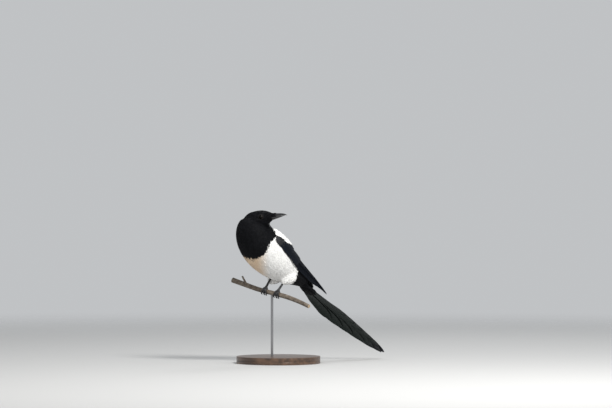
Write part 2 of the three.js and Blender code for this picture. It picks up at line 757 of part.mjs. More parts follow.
const bodySolid = formSolid(body, 24, 24);
const eyes = [1, -1].map((side) => eyeBall(side, gap));
const headSolid = formSolid(headPoint, 14, 20).add(lidRing(1)).add(lidRing(-1));
const headPocket = formSolid(headPoint, 14, 20, gap).add(lidRing(1, gap)).add(lidRing(-1, gap));
const billPocket = mandible(upperBill, 1, gap).add(mandible(lowerBill, -1, gap));
const wingPocket = wingPad(gap);
const wingPockets = [wingPocket, mirrored(wingPocket)];
const tailPocket = tailPlate(gap).add(tailRump(gap));
const thighPockets = [1, -1].map((side) => thighForm(side, gap));
const legPockets = [1, -1].map((side) => tarsusRod(side, gap));

const cutFrom = (solid, tools) => tools.reduce((left, tool) => left.subtract(tool), solid);

const bareHead = cutFrom(headSolid, [...eyes, billPocket]);
addNode("head", nasalBristles().reduce((whole, lock) => whole.add(lock), bareHead), "black");
addNode(
  "neck",
  cutFrom(bodySolid.trimByPlane(neckNormal.toArray(), neckOffset + gap / 2), [headPocket, billPocket, ...eyes, ...wingPockets]),
  "black",
);
addNode(
  "torso",
  cutFrom(bodySolid.trimByPlane(neckNormal.clone().negate().toArray(), -(neckOffset - gap / 2)), [
    ...wingPockets,
    tailPocket,
    ...thighPockets,
    ...legPockets,
  ]),
  "white",
);
addNode("bill_upper", mandible(upperBill, 1), "horn");
addNode("bill_lower", mandible(lowerBill, -1), "horn");
addNode("tail", cutFrom(spreadTail(), wingPockets), "glossBlack");

for (const [label, side] of Object.entries({ left: 1, right: -1 })) {
  const folded = side > 0 ? foldedWing(7) : mirrored(foldedWing(19));
  addNode(`eye_${label}`, eyeBall(side), "eye");
  addNode(`wing_${label}`, folded, "glossBlack");
  addNode(`thigh_${label}`, cutFrom(thighForm(side), [tarsusRod(side, gap), ...wingPockets]), "black");
  addNode(`tarsus_${label}`, tarsusRod(side), "leg");
  const { foot, claws } = footParts(side);
  addNode(`foot_${label}`, foot, "leg");
  for (const [toeName, solid] of Object.entries(claws)) addNode(`claw_${toeName}_${label}`, solid, "horn");
}

addNode("perch", branch().add(stub()).subtract(standRod(gap)), "bark");
addNode("stand_rod", standRod(), "steel");
addNode("stand_base", standBase().subtract(standRod(gap)), "wood");

bird.position.set(0, -feetForward, perchHeight);
const model = new THREE.Group();
model.add(bird);

export default model;
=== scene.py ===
# A life-size Eurasian magpie on a cut length of branch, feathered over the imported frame
import math

import bpy
import numpy as np
from mathutils import Matrix, Vector
from mathutils.bvhtree import BVHTree
from mathutils.kdtree import KDTree


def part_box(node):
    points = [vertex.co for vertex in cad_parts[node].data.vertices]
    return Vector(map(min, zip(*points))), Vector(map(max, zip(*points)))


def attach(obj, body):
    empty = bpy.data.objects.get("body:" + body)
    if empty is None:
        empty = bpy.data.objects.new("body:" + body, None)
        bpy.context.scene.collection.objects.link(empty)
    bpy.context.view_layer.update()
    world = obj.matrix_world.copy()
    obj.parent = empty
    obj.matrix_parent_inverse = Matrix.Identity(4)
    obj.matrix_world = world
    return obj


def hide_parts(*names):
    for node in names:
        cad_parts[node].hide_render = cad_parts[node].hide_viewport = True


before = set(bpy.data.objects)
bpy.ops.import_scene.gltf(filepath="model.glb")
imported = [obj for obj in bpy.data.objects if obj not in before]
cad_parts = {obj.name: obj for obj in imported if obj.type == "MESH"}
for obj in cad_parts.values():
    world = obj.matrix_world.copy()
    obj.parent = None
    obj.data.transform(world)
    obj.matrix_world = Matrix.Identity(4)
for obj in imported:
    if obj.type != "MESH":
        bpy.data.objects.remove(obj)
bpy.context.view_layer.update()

mm = 0.001

# The bird's own points are millimetres (forward, left, up) from the top of the perch between its feet
stance = {
    "perchHeight": 146.0,
    "feetForward": 18.0,
    "headMiddle": (34.5, 5.0, 145.5),
    "headTurn": 118.0,  # degrees to the left of straight ahead
    "headLift": 9.0,
}


def toRow(points):
    p = np.asarray(points, float)
    ahead = -p[..., 0] - stance["feetForward"]
    return np.stack((p[..., 1], ahead, p[..., 2] + stance["perchHeight"]), -1) * mm


def toBird(points):
    p = np.asarray(points, float) / mm
    return np.stack((-p[..., 1] - stance["feetForward"], p[..., 0], p[..., 2] - stance["perchHeight"]), -1)


def unit(vectors):
    return vectors / np.maximum(np.linalg.norm(vectors, axis=-1, keepdims=True), 1e-9)


def smoothStep(value, low, high):
    t = np.clip((value - low) / (high - low), 0, 1)
    return t * t * (3 - 2 * t)


def along(values, share):  # reads a list at shares of its length, smoothly
    values = np.asarray(values, float)
    last = len(values) - 1
    spot = np.clip(np.asarray(share, float), 0, 1) * last
    i = np.minimum(spot.astype(int), last - 1)
    t = spot - i
    if values.ndim > 1:
        t = t[..., None]
    here, after = values[i], values[i + 1]
    slopeIn = (after - values[np.maximum(i - 1, 0)]) / 2
    slopeOut = (values[np.minimum(i + 2, last)] - here) / 2
    a = 2 * here - 2 * after + slopeIn + slopeOut
    b = -3 * here + 3 * after - 2 * slopeIn - slopeOut
    return ((a * t + b) * t + slopeIn) * t + here


headTurn, headLift = math.radians(stance["headTurn"]), math.radians(stance["headLift"])
billHeading = np.array([
    math.cos(headTurn) * math.cos(headLift),
    math.sin(headTurn) * math.cos(headLift),
    math.sin(headLift),
])
headLeft = np.array([-math.sin(headTurn), math.cos(headTurn), 0.0])
headUp = np.cross(billHeading, headLeft)


def onHead(forward, left, up):  # a point in the head's own frame
    return np.asarray(stance["headMiddle"]) + forward * billHeading + left * headLeft + up * headUp


# Small tools for objects and meshes
def deselect():
    bpy.ops.object.select_all(action="DESELECT")


def choose(*pieces):
    deselect()
    for piece in pieces:
        piece.select_set(True)
    bpy.context.view_layer.objects.active = pieces[0]


def applyAll(piece):
    choose(piece)
    for modifier in list(piece.modifiers):
        bpy.ops.object.modifier_apply(modifier=modifier.name)


def modify(piece, kind, **settings):
    modifier = piece.modifiers.new(kind.title(), kind)
    for key, value in settings.items():
        setattr(modifier, key, value)


def basicShape(name, operator, **settings):  # stands about the origin until it is moved
    deselect()
    operator(location=(0, 0, 0), **settings)
    piece = bpy.context.object
    piece.name = name
    return piece


def meshPiece(name, points, faces):
    mesh = bpy.data.meshes.new(name)
    mesh.from_pydata(np.asarray(points).tolist(), [], np.asarray(faces).tolist())
    piece = bpy.data.objects.new(name, mesh)
    bpy.context.scene.collection.objects.link(piece)
    mesh.shade_smooth()
    return piece


def nodeCopy(name, *nodes):  # a merged, joined copy of CAD nodes
    copies = []
    for node in nodes:
        copy = bpy.data.objects.new(name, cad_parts[node].data.copy())
        copy.data.materials.clear()
        bpy.context.scene.collection.objects.link(copy)
        copies.append(copy)
    choose(*copies)
    if len(copies) > 1:
        bpy.ops.object.join()
    piece = copies[0]
    bpy.ops.object.mode_set(mode="EDIT")
    bpy.ops.mesh.select_all(action="SELECT")
    bpy.ops.mesh.remove_doubles(threshold=1e-5)
    bpy.ops.mesh.customdata_custom_splitnormals_clear()
    bpy.ops.object.mode_set(mode="OBJECT")
    piece.name = name
    return piece


def keepLargest(piece):  # drops loose scraps and any closed hollow inside
    choose(piece)
    bpy.ops.object.mode_set(mode="EDIT")
    bpy.ops.mesh.select_all(action="SELECT")
    bpy.ops.mesh.separate(type="LOOSE")
    bpy.ops.object.mode_set(mode="OBJECT")
    parts = sorted(bpy.context.selected_objects, key=lambda part: -len(part.data.vertices))
    name = piece.name
    for scrap in parts[1:]:
        bpy.data.objects.remove(scrap)
    parts[0].name = name
    return parts[0]


def settle(piece, slot, material, *nodes):  # the last step of every piece
    piece.data.materials.clear()
    piece.data.materials.append(material)
    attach(piece, "root")
    if nodes:
        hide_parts(*nodes)


# Shader values that Python's own operators work on
class Wire:
    def __init__(self, paint, socket):
        self.paint, self.socket = paint, socket

    def maths(self, operation, *others):
        sockets = dict(enumerate((self, *others)))
        return self.paint.add("ShaderNodeMath", {"operation": operation}, sockets).out()

    def __add__(self, other):
        return self.maths("ADD", other)

    def __sub__(self, other):
        return self.maths("SUBTRACT", other)

    def __mul__(self, other):
        return self.maths("MULTIPLY", other)

    def __rsub__(self, other):
        return self.maths("MULTIPLY", -1.0).maths("ADD", other)

    __radd__ = __add__
    __rmul__ = __mul__

    def above(self, low, high):  # 0 below low, 1 above high, smooth between
        settings = {"interpolation_type": "SMOOTHSTEP"}
        return self.paint.add("ShaderNodeMapRange", settings, {0: self, 1: low, 2: high}).out()

    def most(self, other):
        return self.maths("MAXIMUM", other)


class Added:
    def __init__(self, paint, node):
        self.paint, self.node = paint, node

    def out(self, name=0):
        return Wire(self.paint, self.node.outputs[name])


class Paint:  # one material and what goes into it
    def __init__(self, name):
        self.material = bpy.data.materials.new(name)
        self.material.use_nodes = True
        self.tree = self.material.node_tree
        self.tree.nodes.clear()
        self.object = self.add("ShaderNodeTexCoord", {}, {}).out("Object")

    def add(self, kind, settings, sockets):
        node = self.tree.nodes.new(kind)
        for key, value in settings.items():
            if key == "stops":
                for k, (position, colour) in enumerate(value):
                    stop = node.color_ramp.elements[k] if k < 2 else node.color_ramp.elements.new(position)
                    stop.position, stop.color = position, (*colour, 1)
            else:
                setattr(node, key, value)
        for key, value in sockets.items():
            if isinstance(value, Wire):
                self.tree.links.new(value.socket, node.inputs[key])
            else:
                node.inputs[key].default_value = value
        return Added(self, node)

    def noise(self, scale, detail=3.0, vector=None):
        sockets = {"Vector": vector or self.object, "Scale": scale, "Detail": detail}
        return self.add("ShaderNodeTexNoise", {}, sockets).out()

    def stretched(self, sizes, turn=(0, 0, 0)):
        sockets = {"Vector": self.object, "Scale": sizes, "Rotation": turn}
        return self.add("ShaderNodeMapping", {}, sockets).out()

    def attribute(self, name):
        return self.add("ShaderNodeAttribute", {"attribute_name": name}, {}).out("Fac")

    def mix(self, factor, first, second):
        settings = {"data_type": "RGBA"}
        ends = [(*c, 1) if isinstance(c, tuple) else c for c in (first, second)]
        return self.add("ShaderNodeMix", settings, {0: factor, 6: ends[0], 7: ends[1]}).out(2)

    def ramp(self, value, stops):
        return self.add("ShaderNodeValToRGB", {"stops": stops}, {0: value}).out()

    def bump(self, height, distance, strength=1.0):
        sockets = {"Height": height, "Distance": distance, "Strength": strength}
        return self.add("ShaderNodeBump", {}, sockets).out()

    def joined(self, x, y, z):
        return self.add("ShaderNodeCombineXYZ", {}, {0: x, 1: y, 2: z}).out()

    def parts(self, vector=None):  # x, y and z of a vector, or of the object's own place
        split = self.add("ShaderNodeSeparateXYZ", {}, {0: vector or self.object})
        return split.out(0), split.out(1), split.out(2)

    def finish(self, **sockets):
        shader = self.add("ShaderNodeBsdfPrincipled", {}, {})
        for key, value in sockets.items():
            socket = shader.node.inputs[key.replace("_", " ")]
            if isinstance(value, Wire):
                self.tree.links.new(value.socket, socket)
            elif isinstance(value, tuple):
                socket.default_value = (*value, 1)
            else:
                socket.default_value = value
        self.add("ShaderNodeOutputMaterial", {}, {"Surface": shader.out()})
        return self.material


# Markings, in the bird's millimetres: where the plumage is black and where it is white
markings = {
    "bibAxis": (20.0, 5.0),  # forward and left of the upright line that the bib runs round
    "bibEdge": [  # degrees to the left of straight ahead, and the height of the edge there
        (-180, 112), (-75, 112), (-68, 106), (-58, 92), (-50, 80), (-42, 72), (-24, 66),
        (-8, 63), (4, 62), (17, 64.5), (30, 70), (38, 73), (44, 78), (48, 82), (52, 86),
        (55, 93), (63, 101), (70, 108), (75, 112), (180, 112),
    ],
    "bibScale": 200.0,  # the height that a colour ramp's white stands for
    "rear": -46.0,  # where the white of the flank ends, level with the wing
    "rearLean": 0.6,
    "rearLevel": 45.0,
    "axisTilt": math.radians(32.2),
    "axisLevel": 75.0,
    "mantle": 1.25,  # height over sideways distance from the body's line
    "blur": 1.5,
}


def hoodSide(forward, left, up):  # above 0 in the black of head, neck and breast
    angle = np.degrees(np.arctan2(left - markings["bibAxis"][1], forward - markings["bibAxis"][0]))
    return up - np.interp(angle, *zip(*markings["bibEdge"]))


def hoodShade(paint, forward, left, up):  # the same, as a shader value
    turn = (left - markings["bibAxis"][1]).maths("ARCTAN2", forward - markings["bibAxis"][0])
    scale = markings["bibScale"]
    stops = [((angle + 180) / 360, 3 * (height / scale,)) for angle, height in markings["bibEdge"]]
    return up - paint.ramp(turn * (0.5 / math.pi) + 0.5, stops) * scale


def rearSide(forward, left, up):  # above 0 in the black of thighs and vent
    return (up - markings["rearLevel"]) * -markings["rearLean"] - (forward - markings["rear"])


def overAxis(forward, left, up):  # height over the line through the body
    tilt = markings["axisTilt"]
    return (up - markings["axisLevel"]) * math.cos(tilt) - forward * math.sin(tilt)


# The folded left wing: its lower edge, the line along its middle and its upper edge, from shoulder to tip
wingForm = {
    "lower": [
        (34, 40, 104), (10, 45, 80), (-20, 41, 58), (-50, 33.5, 38),
        (-80, 26, 20), (-110, 20, 3), (-140, 17, -18),
    ],
    "middle": [
        (28, 41, 115), (-6, 41, 97), (-34, 37, 76), (-62, 31, 54),
        (-92, 26, 30), (-120, 21, 9), (-143, 18, -11),
    ],
    "upper": [
        (26, 29, 124), (-6, 20, 112), (-38, 13, 86), (-68, 9, 59),
        (-98, 7.5, 33), (-124, 9, 8), (-146, 11.5, -5),
    ],
    "run": 213.0,
    "tilt": 0.215,
    "sheet": (220.0, 60.0),  # the length and width that the bake map spreads a wing over
    "thick": [5, 9, 10.5, 10.5, 9.5, 8.5, 7.5, 6.5, 6],
    "padRibs": 18,
    "padReach": 0.42,
    "padTops": [-1.2, -1.4, -2.4, -5.2, -6.6, -7.2, -7.4],
    "padRound": 0.8,
    "noseLength": 0.1,
    "noseInset": 0.3,
}


def wingPoint(share, across, height):
    def on(s, t):
        low, middle, high = (along(wingForm[edge], s) for edge in ("lower", "middle", "upper"))
        control = 2 * middle - 0.5 * low - 0.5 * high
        t = t[..., None]
        return low * (1 - t) ** 2 + control * 2 * t * (1 - t) + high * t**2

    share, across, height = np.broadcast_arrays(*(np.asarray(v, float) for v in (share, across, height)))
    step = 0.01
    s = np.clip(share, step, 1 - step)
    rearward = on(s + step, across) - on(s - step, across)
    outward = unit(np.cross(rearward, on(s, across + step) - on(s, across - step)))
    outward = np.where(outward[..., 1:2] < 0, -outward, outward)
    return on(s, across) + rearward * ((share - s) / (2 * step))[..., None] + outward * height[..., None]


def ribLength(share):  # over the wing's surface, from its lower edge to its upper one
    return np.linalg.norm(np.diff(wingPoint(share, np.linspace(0, 1, 9), 0), axis=0), axis=1).sum()


wingWidths = [ribLength(rib / 32) for rib in range(33)]


def wingPlace(length, across, height):  # the same surface in millimetres
    share = np.asarray(length, float) / wingForm["run"]
    return wingPoint(share, across / along(wingWidths, share), height)


def closedForm(name, rings):  # a closed skin over rings of points
    rings = np.asarray(rings)
    count, sides = rings.shape[:2]
    points = rings.reshape(-1, 3)
    faces = [list(range(sides))[::-1], [(count - 1) * sides + j for j in range(sides)]]
    for i in range(count - 1):
        for j in range(sides):
            k = (j + 1) % sides
            faces.append([i * sides + j, i * sides + k, (i + 1) * sides + k, (i + 1) * sides + j])
    mesh = bpy.data.meshes.new(name)
    mesh.from_pydata(toRow(points).tolist(), [], faces)
    piece = bpy.data.objects.new(name, mesh)
    bpy.context.scene.collection.objects.link(piece)
    choose(piece)
    bpy.ops.object.mode_set(mode="EDIT")
    bpy.ops.mesh.select_all(action="SELECT")
    bpy.ops.mesh.normals_make_consistent(inside=False)
    bpy.ops.object.mode_set(mode="OBJECT")
    return piece


def wingPad(side):  # the flesh of the folded wing, which fills its place on the flank
    rings = []
    edge = np.linspace(0, 1, 9)
    swell = np.sqrt(np.maximum(0, 1 - (2 * edge - 1) ** 4))
    for share in np.linspace(0.01, wingForm["padReach"], wingForm["padRibs"]):
        width = along(wingWidths, share)
        nose = math.sqrt(max(0, 1 - max(0, 1 - share / wingForm["noseLength"]) ** 2))
        inset = wingForm["noseInset"] * width * (1 - nose)
        across = (inset + (width - 2 * inset) * edge) / width
        roof = along(wingForm["padTops"], share / wingForm["padReach"])
        level = roof - wingForm["padRound"] * (1 - swell)
        depth = along(wingForm["thick"], share) * (0.8 + 0.2 * swell)
        ring = np.concatenate((wingPoint(share, across, level), wingPoint(share, across[::-1], -depth)))
        ring[:, 1] *= side
        rings.append(ring)
    return closedForm("pad", rings)


# The tail: the line of its middle and how its feathers close
tailForm = {
    "line": [(-84, 0, 17), (-181, 7, -50), (-298, 23, -132)],
    "length": 250.0,
    "sheet": (255.0, 70.0),
    "roof": 0.0045,
    "reach": [250, 232, 209, 184, 158, 130],
    "across": [2.4, 7.4, 11.4, 14.8, 17.8, 20.4],
    "half": [13, 12.6, 12.2, 11.7, 11.2, 10.6],
    "drop": 0.92,
    "roll": 0.2,
    "rollFrom": 0.08,
    "rollTo": 0.5,
    "rumpHalves": [9, 12, 14.5, 16.5, 16, 11],
    "rumpAbove": [2.5, 3, 2.8, 1.8, 0.8, -0.5],
    "rumpBelow": [7.5, 10, 11, 10.6, 9, 7],
    "rumpFrom": -3.0,
    "rumpReach": 46.0,
    "rumpSides": 16,
    "rumpFullness": 0.85,
}


def throughPoints(points, share):  # the smooth line that the CAD draws through a few points
    p = np.asarray(points, float)
    p = np.concatenate(([2 * p[0] - p[1]], p, [2 * p[-1] - p[-2]]))
    spot = np.clip(np.asarray(share, float), 0, 1) * (len(points) - 1)
    i = np.minimum(spot.astype(int), len(points) - 2)
    t = (spot - i)[..., None]
    a, b, c, d = (p[i + k] for k in range(4))
    gaps = ((a, b), (b, c), (c, d))
    first, second, third = (np.sqrt(np.linalg.norm(y - x, axis=-1, keepdims=True)) for x, y in gaps)
    slopeIn = ((b - a) / first - (c - a) / (first + second) + (c - b) / second) * second
    slopeOut = ((c - b) / second - (d - b) / (second + third) + (d - c) / third) * second
    square = 3 * (c - b) - 2 * slopeIn - slopeOut
    cube = 2 * (b - c) + slopeIn + slopeOut
    return b + t * (slopeIn + t * (square + t * cube))


def tailPlace(length, across, height):
    length, across, height = np.broadcast_arrays(*(np.asarray(v, float) for v in (length, across, height)))
    share = length / tailForm["length"]
    inside = np.clip(share, 0, 1)
    step = 1e-3
    heading = unit(
        throughPoints(tailForm["line"], inside + step) - throughPoints(tailForm["line"], inside - step)
    )
    past = (share - inside) * tailForm["length"]
    centre = throughPoints(tailForm["line"], inside) + heading * past[..., None]
    left = unit(np.array([0.0, 1.0, 0.0]) - heading * heading[..., 1:2])
    top = np.cross(left, heading)
    top = np.where(top[..., 2:3] < 0, -top, top)
    roll = (tailForm["roll"] * smoothStep(share, tailForm["rollFrom"], tailForm["rollTo"]))[..., None]
    left, top = left * np.cos(roll) + top * np.sin(roll), top * np.cos(roll) - left * np.sin(roll)
    rise = (height - tailForm["roof"] * across**2)[..., None]
    return centre + left * across[..., None] + top * rise


def rumpForm():  # the root of the tail
    def full(value):  # rounder at the corners than a plain ellipse
        return np.sign(value) * np.abs(value) ** tailForm["rumpFullness"]

    rings = []
    start, end, sides = tailForm["rumpFrom"], tailForm["rumpReach"], tailForm["rumpSides"]
    angles = (np.arange(sides) + 0.5) / sides * 2 * math.pi
    for share in np.linspace(0, 1, 9):
        half = along(tailForm["rumpHalves"], share)
        above, below = along(tailForm["rumpAbove"], share), along(tailForm["rumpBelow"], share)
        height = -below + (above + below) * (full(np.sin(angles)) + 1) / 2
        rings.append(tailPlace(start + (end - start) * share, (half - 1) * full(np.cos(angles)), height))
    return closedForm("rump", rings)


# One skin under the whole coat
skinForm = {
    "voxel": 0.0017,
    "smoothing": 14,
    "coatDepth": 0.0021,
    "settling": 8,  # how much the skin is smoothed once it has sunk under the coat
    "nape": (40.1, -5.3, 129.5),  # the round of the nape, which fills in behind the crown
    "napeReach": 29.0,
    "napeWidth": 17.0,
    "browLevel": 2.9,  # how far out the plumage stands round each eye, from the middle of the ball
    "browRim": 5.5,
    "browSlope": 0.16,
    "browFrom": 7.0,
    "browTo": 13.0,
    "eyeSide": -4.0,  # what lies deeper than this belongs to the other side of the head
}


def eyeCentres():
    centres = {}
    for label in ("left", "right"):
        low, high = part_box(f"eye_{label}")
        centres[label] = (Vector(low) + Vector(high)) / 2
    return centres


def eyeSpots():  # the middle of each eye in the bird's millimetres, and the way it looks
    centres = eyeCentres()
    outward = (centres["left"] - centres["right"]).normalized()
    facing = np.array([-outward.y, outward.x, outward.z])
    return [(toBird(centres["left"]), facing), (toBird(centres["right"]), -facing)]


eyes = eyeSpots()


def fromEye(points, centre, facing):  # how far off an eye's line a point is, and how far out along it
    apart = points - centre
    height = apart @ facing
    return np.linalg.norm(apart - height[:, None] * facing, axis=1), height


def raiseBrows(skin):  # the plumage comes out to the rim of each eye
    flat = np.zeros(len(skin.data.vertices) * 3)
    skin.data.vertices.foreach_get("co", flat)
    points = toBird(flat.reshape(-1, 3))
    for centre, facing in eyes:
        radius, height = fromEye(points, centre, facing)
        beyond = np.maximum(0.0, radius - skinForm["browRim"])
        level = skinForm["browLevel"] - skinForm["browSlope"] * beyond
        near = 1 - smoothStep(radius, skinForm["browFrom"], skinForm["browTo"])
        share = near * (height > skinForm["eyeSide"])
        points = points + facing * (np.maximum(0.0, level - height) * share)[:, None]
    skin.data.vertices.foreach_set("co", toRow(points).ravel())


def napeForm():
    middle = Vector(toRow(skinForm["nape"]))
    radius = skinForm["napeReach"] * mm
    nape = basicShape("nape", bpy.ops.mesh.primitive_uv_sphere_add, segments=40, ring_count=24, radius=radius)
    turn = Matrix.Rotation(math.radians(stance["headTurn"]), 4, "Z")
    nape.data.transform(Matrix.Scale(skinForm["napeWidth"] / skinForm["napeReach"], 4, (1, 0, 0)))
    nape.data.transform(Matrix.Translation(middle) @ turn)
    return nape


def buildSkin():
    flesh = nodeCopy("skin", "head", "neck", "torso", "thigh_left", "thigh_right")
    choose(flesh, wingPad(1), wingPad(-1), rumpForm(), napeForm())
    bpy.ops.object.join()
    modify(flesh, "REMESH", mode="VOXEL", voxel_size=skinForm["voxel"])
    applyAll(flesh)
    skin = keepLargest(flesh)
    modify(skin, "SMOOTH", factor=0.5, iterations=skinForm["smoothing"])
    applyAll(skin)
    raiseBrows(skin)
    bpy.ops.object.mode_set(mode="EDIT")
    bpy.ops.mesh.select_all(action="SELECT")
    bpy.ops.uv.smart_project(angle_limit=math.radians(66), island_margin=0.01)
    bpy.ops.object.mode_set(mode="OBJECT")
    skin.data.uv_layers[0].name = "unwrap"
    return skin


class Surface:  # a shape to lay feathers on
    def __init__(self, piece):
        mesh = piece.data
        mesh.calc_loop_triangles()
        count = len(mesh.loop_triangles)
        corners = np.zeros(len(mesh.vertices) * 3)
        mesh.vertices.foreach_get("co", corners)
        self.points = toBird(corners.reshape(-1, 3))
        normals = np.zeros(len(mesh.vertices) * 3)
        mesh.vertices.foreach_get("normal", normals)
        normals = normals.reshape(-1, 3)
        self.normals = np.stack((-normals[:, 1], normals[:, 0], normals[:, 2]), -1)
        index = np.zeros(count * 3, int)
        mesh.loop_triangles.foreach_get("vertices", index)
        self.faces = index.reshape(-1, 3)
        loops = np.zeros(count * 3, int)
        mesh.loop_triangles.foreach_get("loops", loops)
        if mesh.uv_layers:
            flat = np.zeros(len(mesh.loops) * 2)
            mesh.uv_layers[0].data.foreach_get("uv", flat)
            self.unwrap = flat.reshape(-1, 2)[loops].reshape(-1, 3, 2)
        self.tree = BVHTree.FromPolygons(self.points.tolist(), self.faces.tolist())

    def nearest(self, points):  # the nearest place on the surface, and the smooth normal there
        found = [self.tree.find_nearest(point) for point in points.tolist()]
        spots = np.array([hit[0] for hit in found])
        index = np.array([hit[2] for hit in found])
        corners = self.points[self.faces[index]]
        reach = 1 / (np.linalg.norm(corners - spots[:, None], axis=-1) + 0.05)
        normals = unit((self.normals[self.faces[index]] * reach[..., None]).sum(1))
        return spots, normals

    def unwrapAt(self, points):
        index = [self.tree.find_nearest(point)[2] for point in points.tolist()]
        return self.unwrap[np.array(index)].mean(1)

    def scatter(self, count, density, seed):  # many possible roots, and more of them where density is high
        random = np.random.default_rng(seed)
        corners = self.points[self.faces]
        first, second = corners[:, 1] - corners[:, 0], corners[:, 2] - corners[:, 0]
        areas = np.linalg.norm(np.cross(first, second), axis=1)
        weights = areas * density(corners.mean(1))
        index = random.choice(len(areas), count, p=weights / weights.sum())
        a, b = random.random((2, count))
        a, b = np.where(a + b > 1, (1 - a, 1 - b), (a, b))
        shares = np.stack((1 - a - b, a, b), -1)[..., None]
        points = (corners[index] * shares).sum(1)
        normals = unit((self.normals[self.faces[index]] * shares).sum(1))
        return points, normals, (self.unwrap[index] * shares).sum(1)


def treeOf(spots):
    tree = KDTree(len(spots))
    for k, spot in enumerate(spots.tolist()):
        tree.insert(spot, k)
    tree.balance()
    return tree


def thinned(roots, kept, spacing):  # evenly spaced roots out of those that are kept
    points, normals, unwrap = (values[kept] for values in roots)
    gaps = np.broadcast_to(spacing(points), len(points))
    tree = treeOf(points)
    free = np.ones(len(points), bool)
    picked = []
    for k, point in enumerate(points.tolist()):
        if free[k]:
            picked.append(k)
            free[[near for _, near, _ in tree.find_range(point, gaps[k])]] = False
    return points[picked], normals[picked], unwrap[picked]


def addMaps(piece, patches, featherMap, tones):
    # The bake map gives each feather its own small patch; the other map runs across and along each feather
    corners = np.zeros(len(piece.data.loops), int)
    piece.data.loops.foreach_get("vertex_index", corners)
    for name, flat in (("feather", featherMap), ("OFBake", patches)):
        layer = piece.data.uv_layers.new(name=name)
        layer.data.foreach_set("uv", flat[corners].astype(np.float32).ravel())
    piece.data.uv_layers["OFBake"].active = True
    piece.data.uv_layers["OFBake"].active_render = True
    tone = piece.data.attributes.new("tone", "FLOAT", "POINT")
    tone.data.foreach_set("value", tones.astype(np.float32))


patchSize = 0.003  # of each feather on the bake map


def overFeather(shares, across):  # the map of one feather: across it, then along it
    return np.stack(np.meshgrid(shares, across * 0.5 + 0.5, indexing="ij")[::-1], -1).reshape(-1, 2)


uneven = {"length": 0.16, "half": 0.14, "lift": 0.5, "lean": 0.12}  # how much the feathers differ


def layFeathers(name, surface, roots, flow, shape, seed):
    random = np.random.default_rng(seed)
    points, normals, unwrap = roots
    count = len(points)
    length = shape["length"](points) * (1 + uneven["length"] * random.uniform(-1, 1, count))
    half = shape["half"](points) * (1 + uneven["half"] * random.uniform(-1, 1, count))
    stations = np.asarray(shape["outline"], float)  # shares of the length, and of the full width there
    rows, columns = len(stations), shape["columns"]
    across = np.linspace(-1, 1, columns)
    heading = flow(points, normals)
    turn = np.radians(shape["wander"]) * random.normal(0, 1, count)
    side = np.cross(normals, heading)
    heading = unit(heading * np.cos(turn)[:, None] + side * np.sin(turn)[:, None])
    lift = shape["lift"] * (1 + uneven["lift"] * random.uniform(-1, 1, count))
    lean = uneven["lean"] * random.normal(0, 1, count)
    fray = random.uniform(-1, 1, (columns, count)) * shape["fray"]
    grid = np.zeros((rows, columns, count, 3))
    before = 0.0
    for row, (share, breadth) in enumerate(stations):
        if row:
            points, normals = surface.nearest(points + heading * (length * (share - before))[:, None])
            heading = unit(heading - normals * (heading * normals).sum(-1, keepdims=True))
        before = share
        side = np.cross(normals, heading)
        height = -shape["sink"] * (1 - share) ** 1.3 + lift * share**1.6
        for column, c in enumerate(across):
            droop = shape["cup"] * half * c * c * (0.3 + 0.7 * share)
            back = length * (shape["round"] * c * c * share**6 + fray[column] * share**4)
            grid[row, column] = (
                points
                + side * (c * half * breadth)[:, None]
                + normals * (height - droop + lean * c * half)[:, None]
                - heading * back[:, None]
            )
    points = toRow(grid.transpose(2, 0, 1, 3).reshape(-1, 3))
    first = (np.arange(count) * rows * columns)[:, None, None]
    cell = (np.arange(rows - 1)[:, None] * columns + np.arange(columns - 1)[None])[None] + first
    faces = np.stack((cell, cell + 1, cell + columns + 1, cell + columns), -1).reshape(-1, 4)
    piece = meshPiece(name, points, faces)
    featherMap = np.tile(overFeather(stations[:, 0], across), (count, 1))
    patches = np.repeat(unwrap, rows * columns, axis=0) + (featherMap - 0.5) * patchSize
    addMaps(piece, patches, featherMap, np.repeat(random.random(count), rows * columns))
    print(name, count, "feathers", len(faces) * 2, "triangles")
    return piece


def vaneFaces(steps, columns):  # a thin closed vane: its upper side, its under side and its rim
    under, over = np.arange(steps * columns * 2).reshape(2, steps, columns)
    upper = np.stack((over[:-1, :-1], over[1:, :-1], over[1:, 1:], over[:-1, 1:]), -1).reshape(-1, 4)
    lower = np.stack((under[:-1, :-1], under[:-1, 1:], under[1:, 1:], under[1:, :-1]), -1).reshape(-1, 4)
    edge = np.concatenate((
        np.arange(steps) * columns,
        (steps - 1) * columns + np.arange(1, columns),
        np.arange(steps - 2, -1, -1) * columns + columns - 1,
        np.arange(columns - 2, 0, -1),
    ))
    turned = np.roll(edge, -1)
    rim = np.stack((edge, turned, turned + steps * columns, edge + steps * columns), -1)
    return np.concatenate((upper, lower, rim))


plainVane = {
    "shaft": 0.0, "ridge": 0.25, "camber": 0.35, "sweep": 0.0, "tilt": 0.0, "thickness": 0.4,
    "narrowest": 0.04, "shaftWidth": 0.16, "ridgeFade": 0.7, "thinning": 0.5,
}


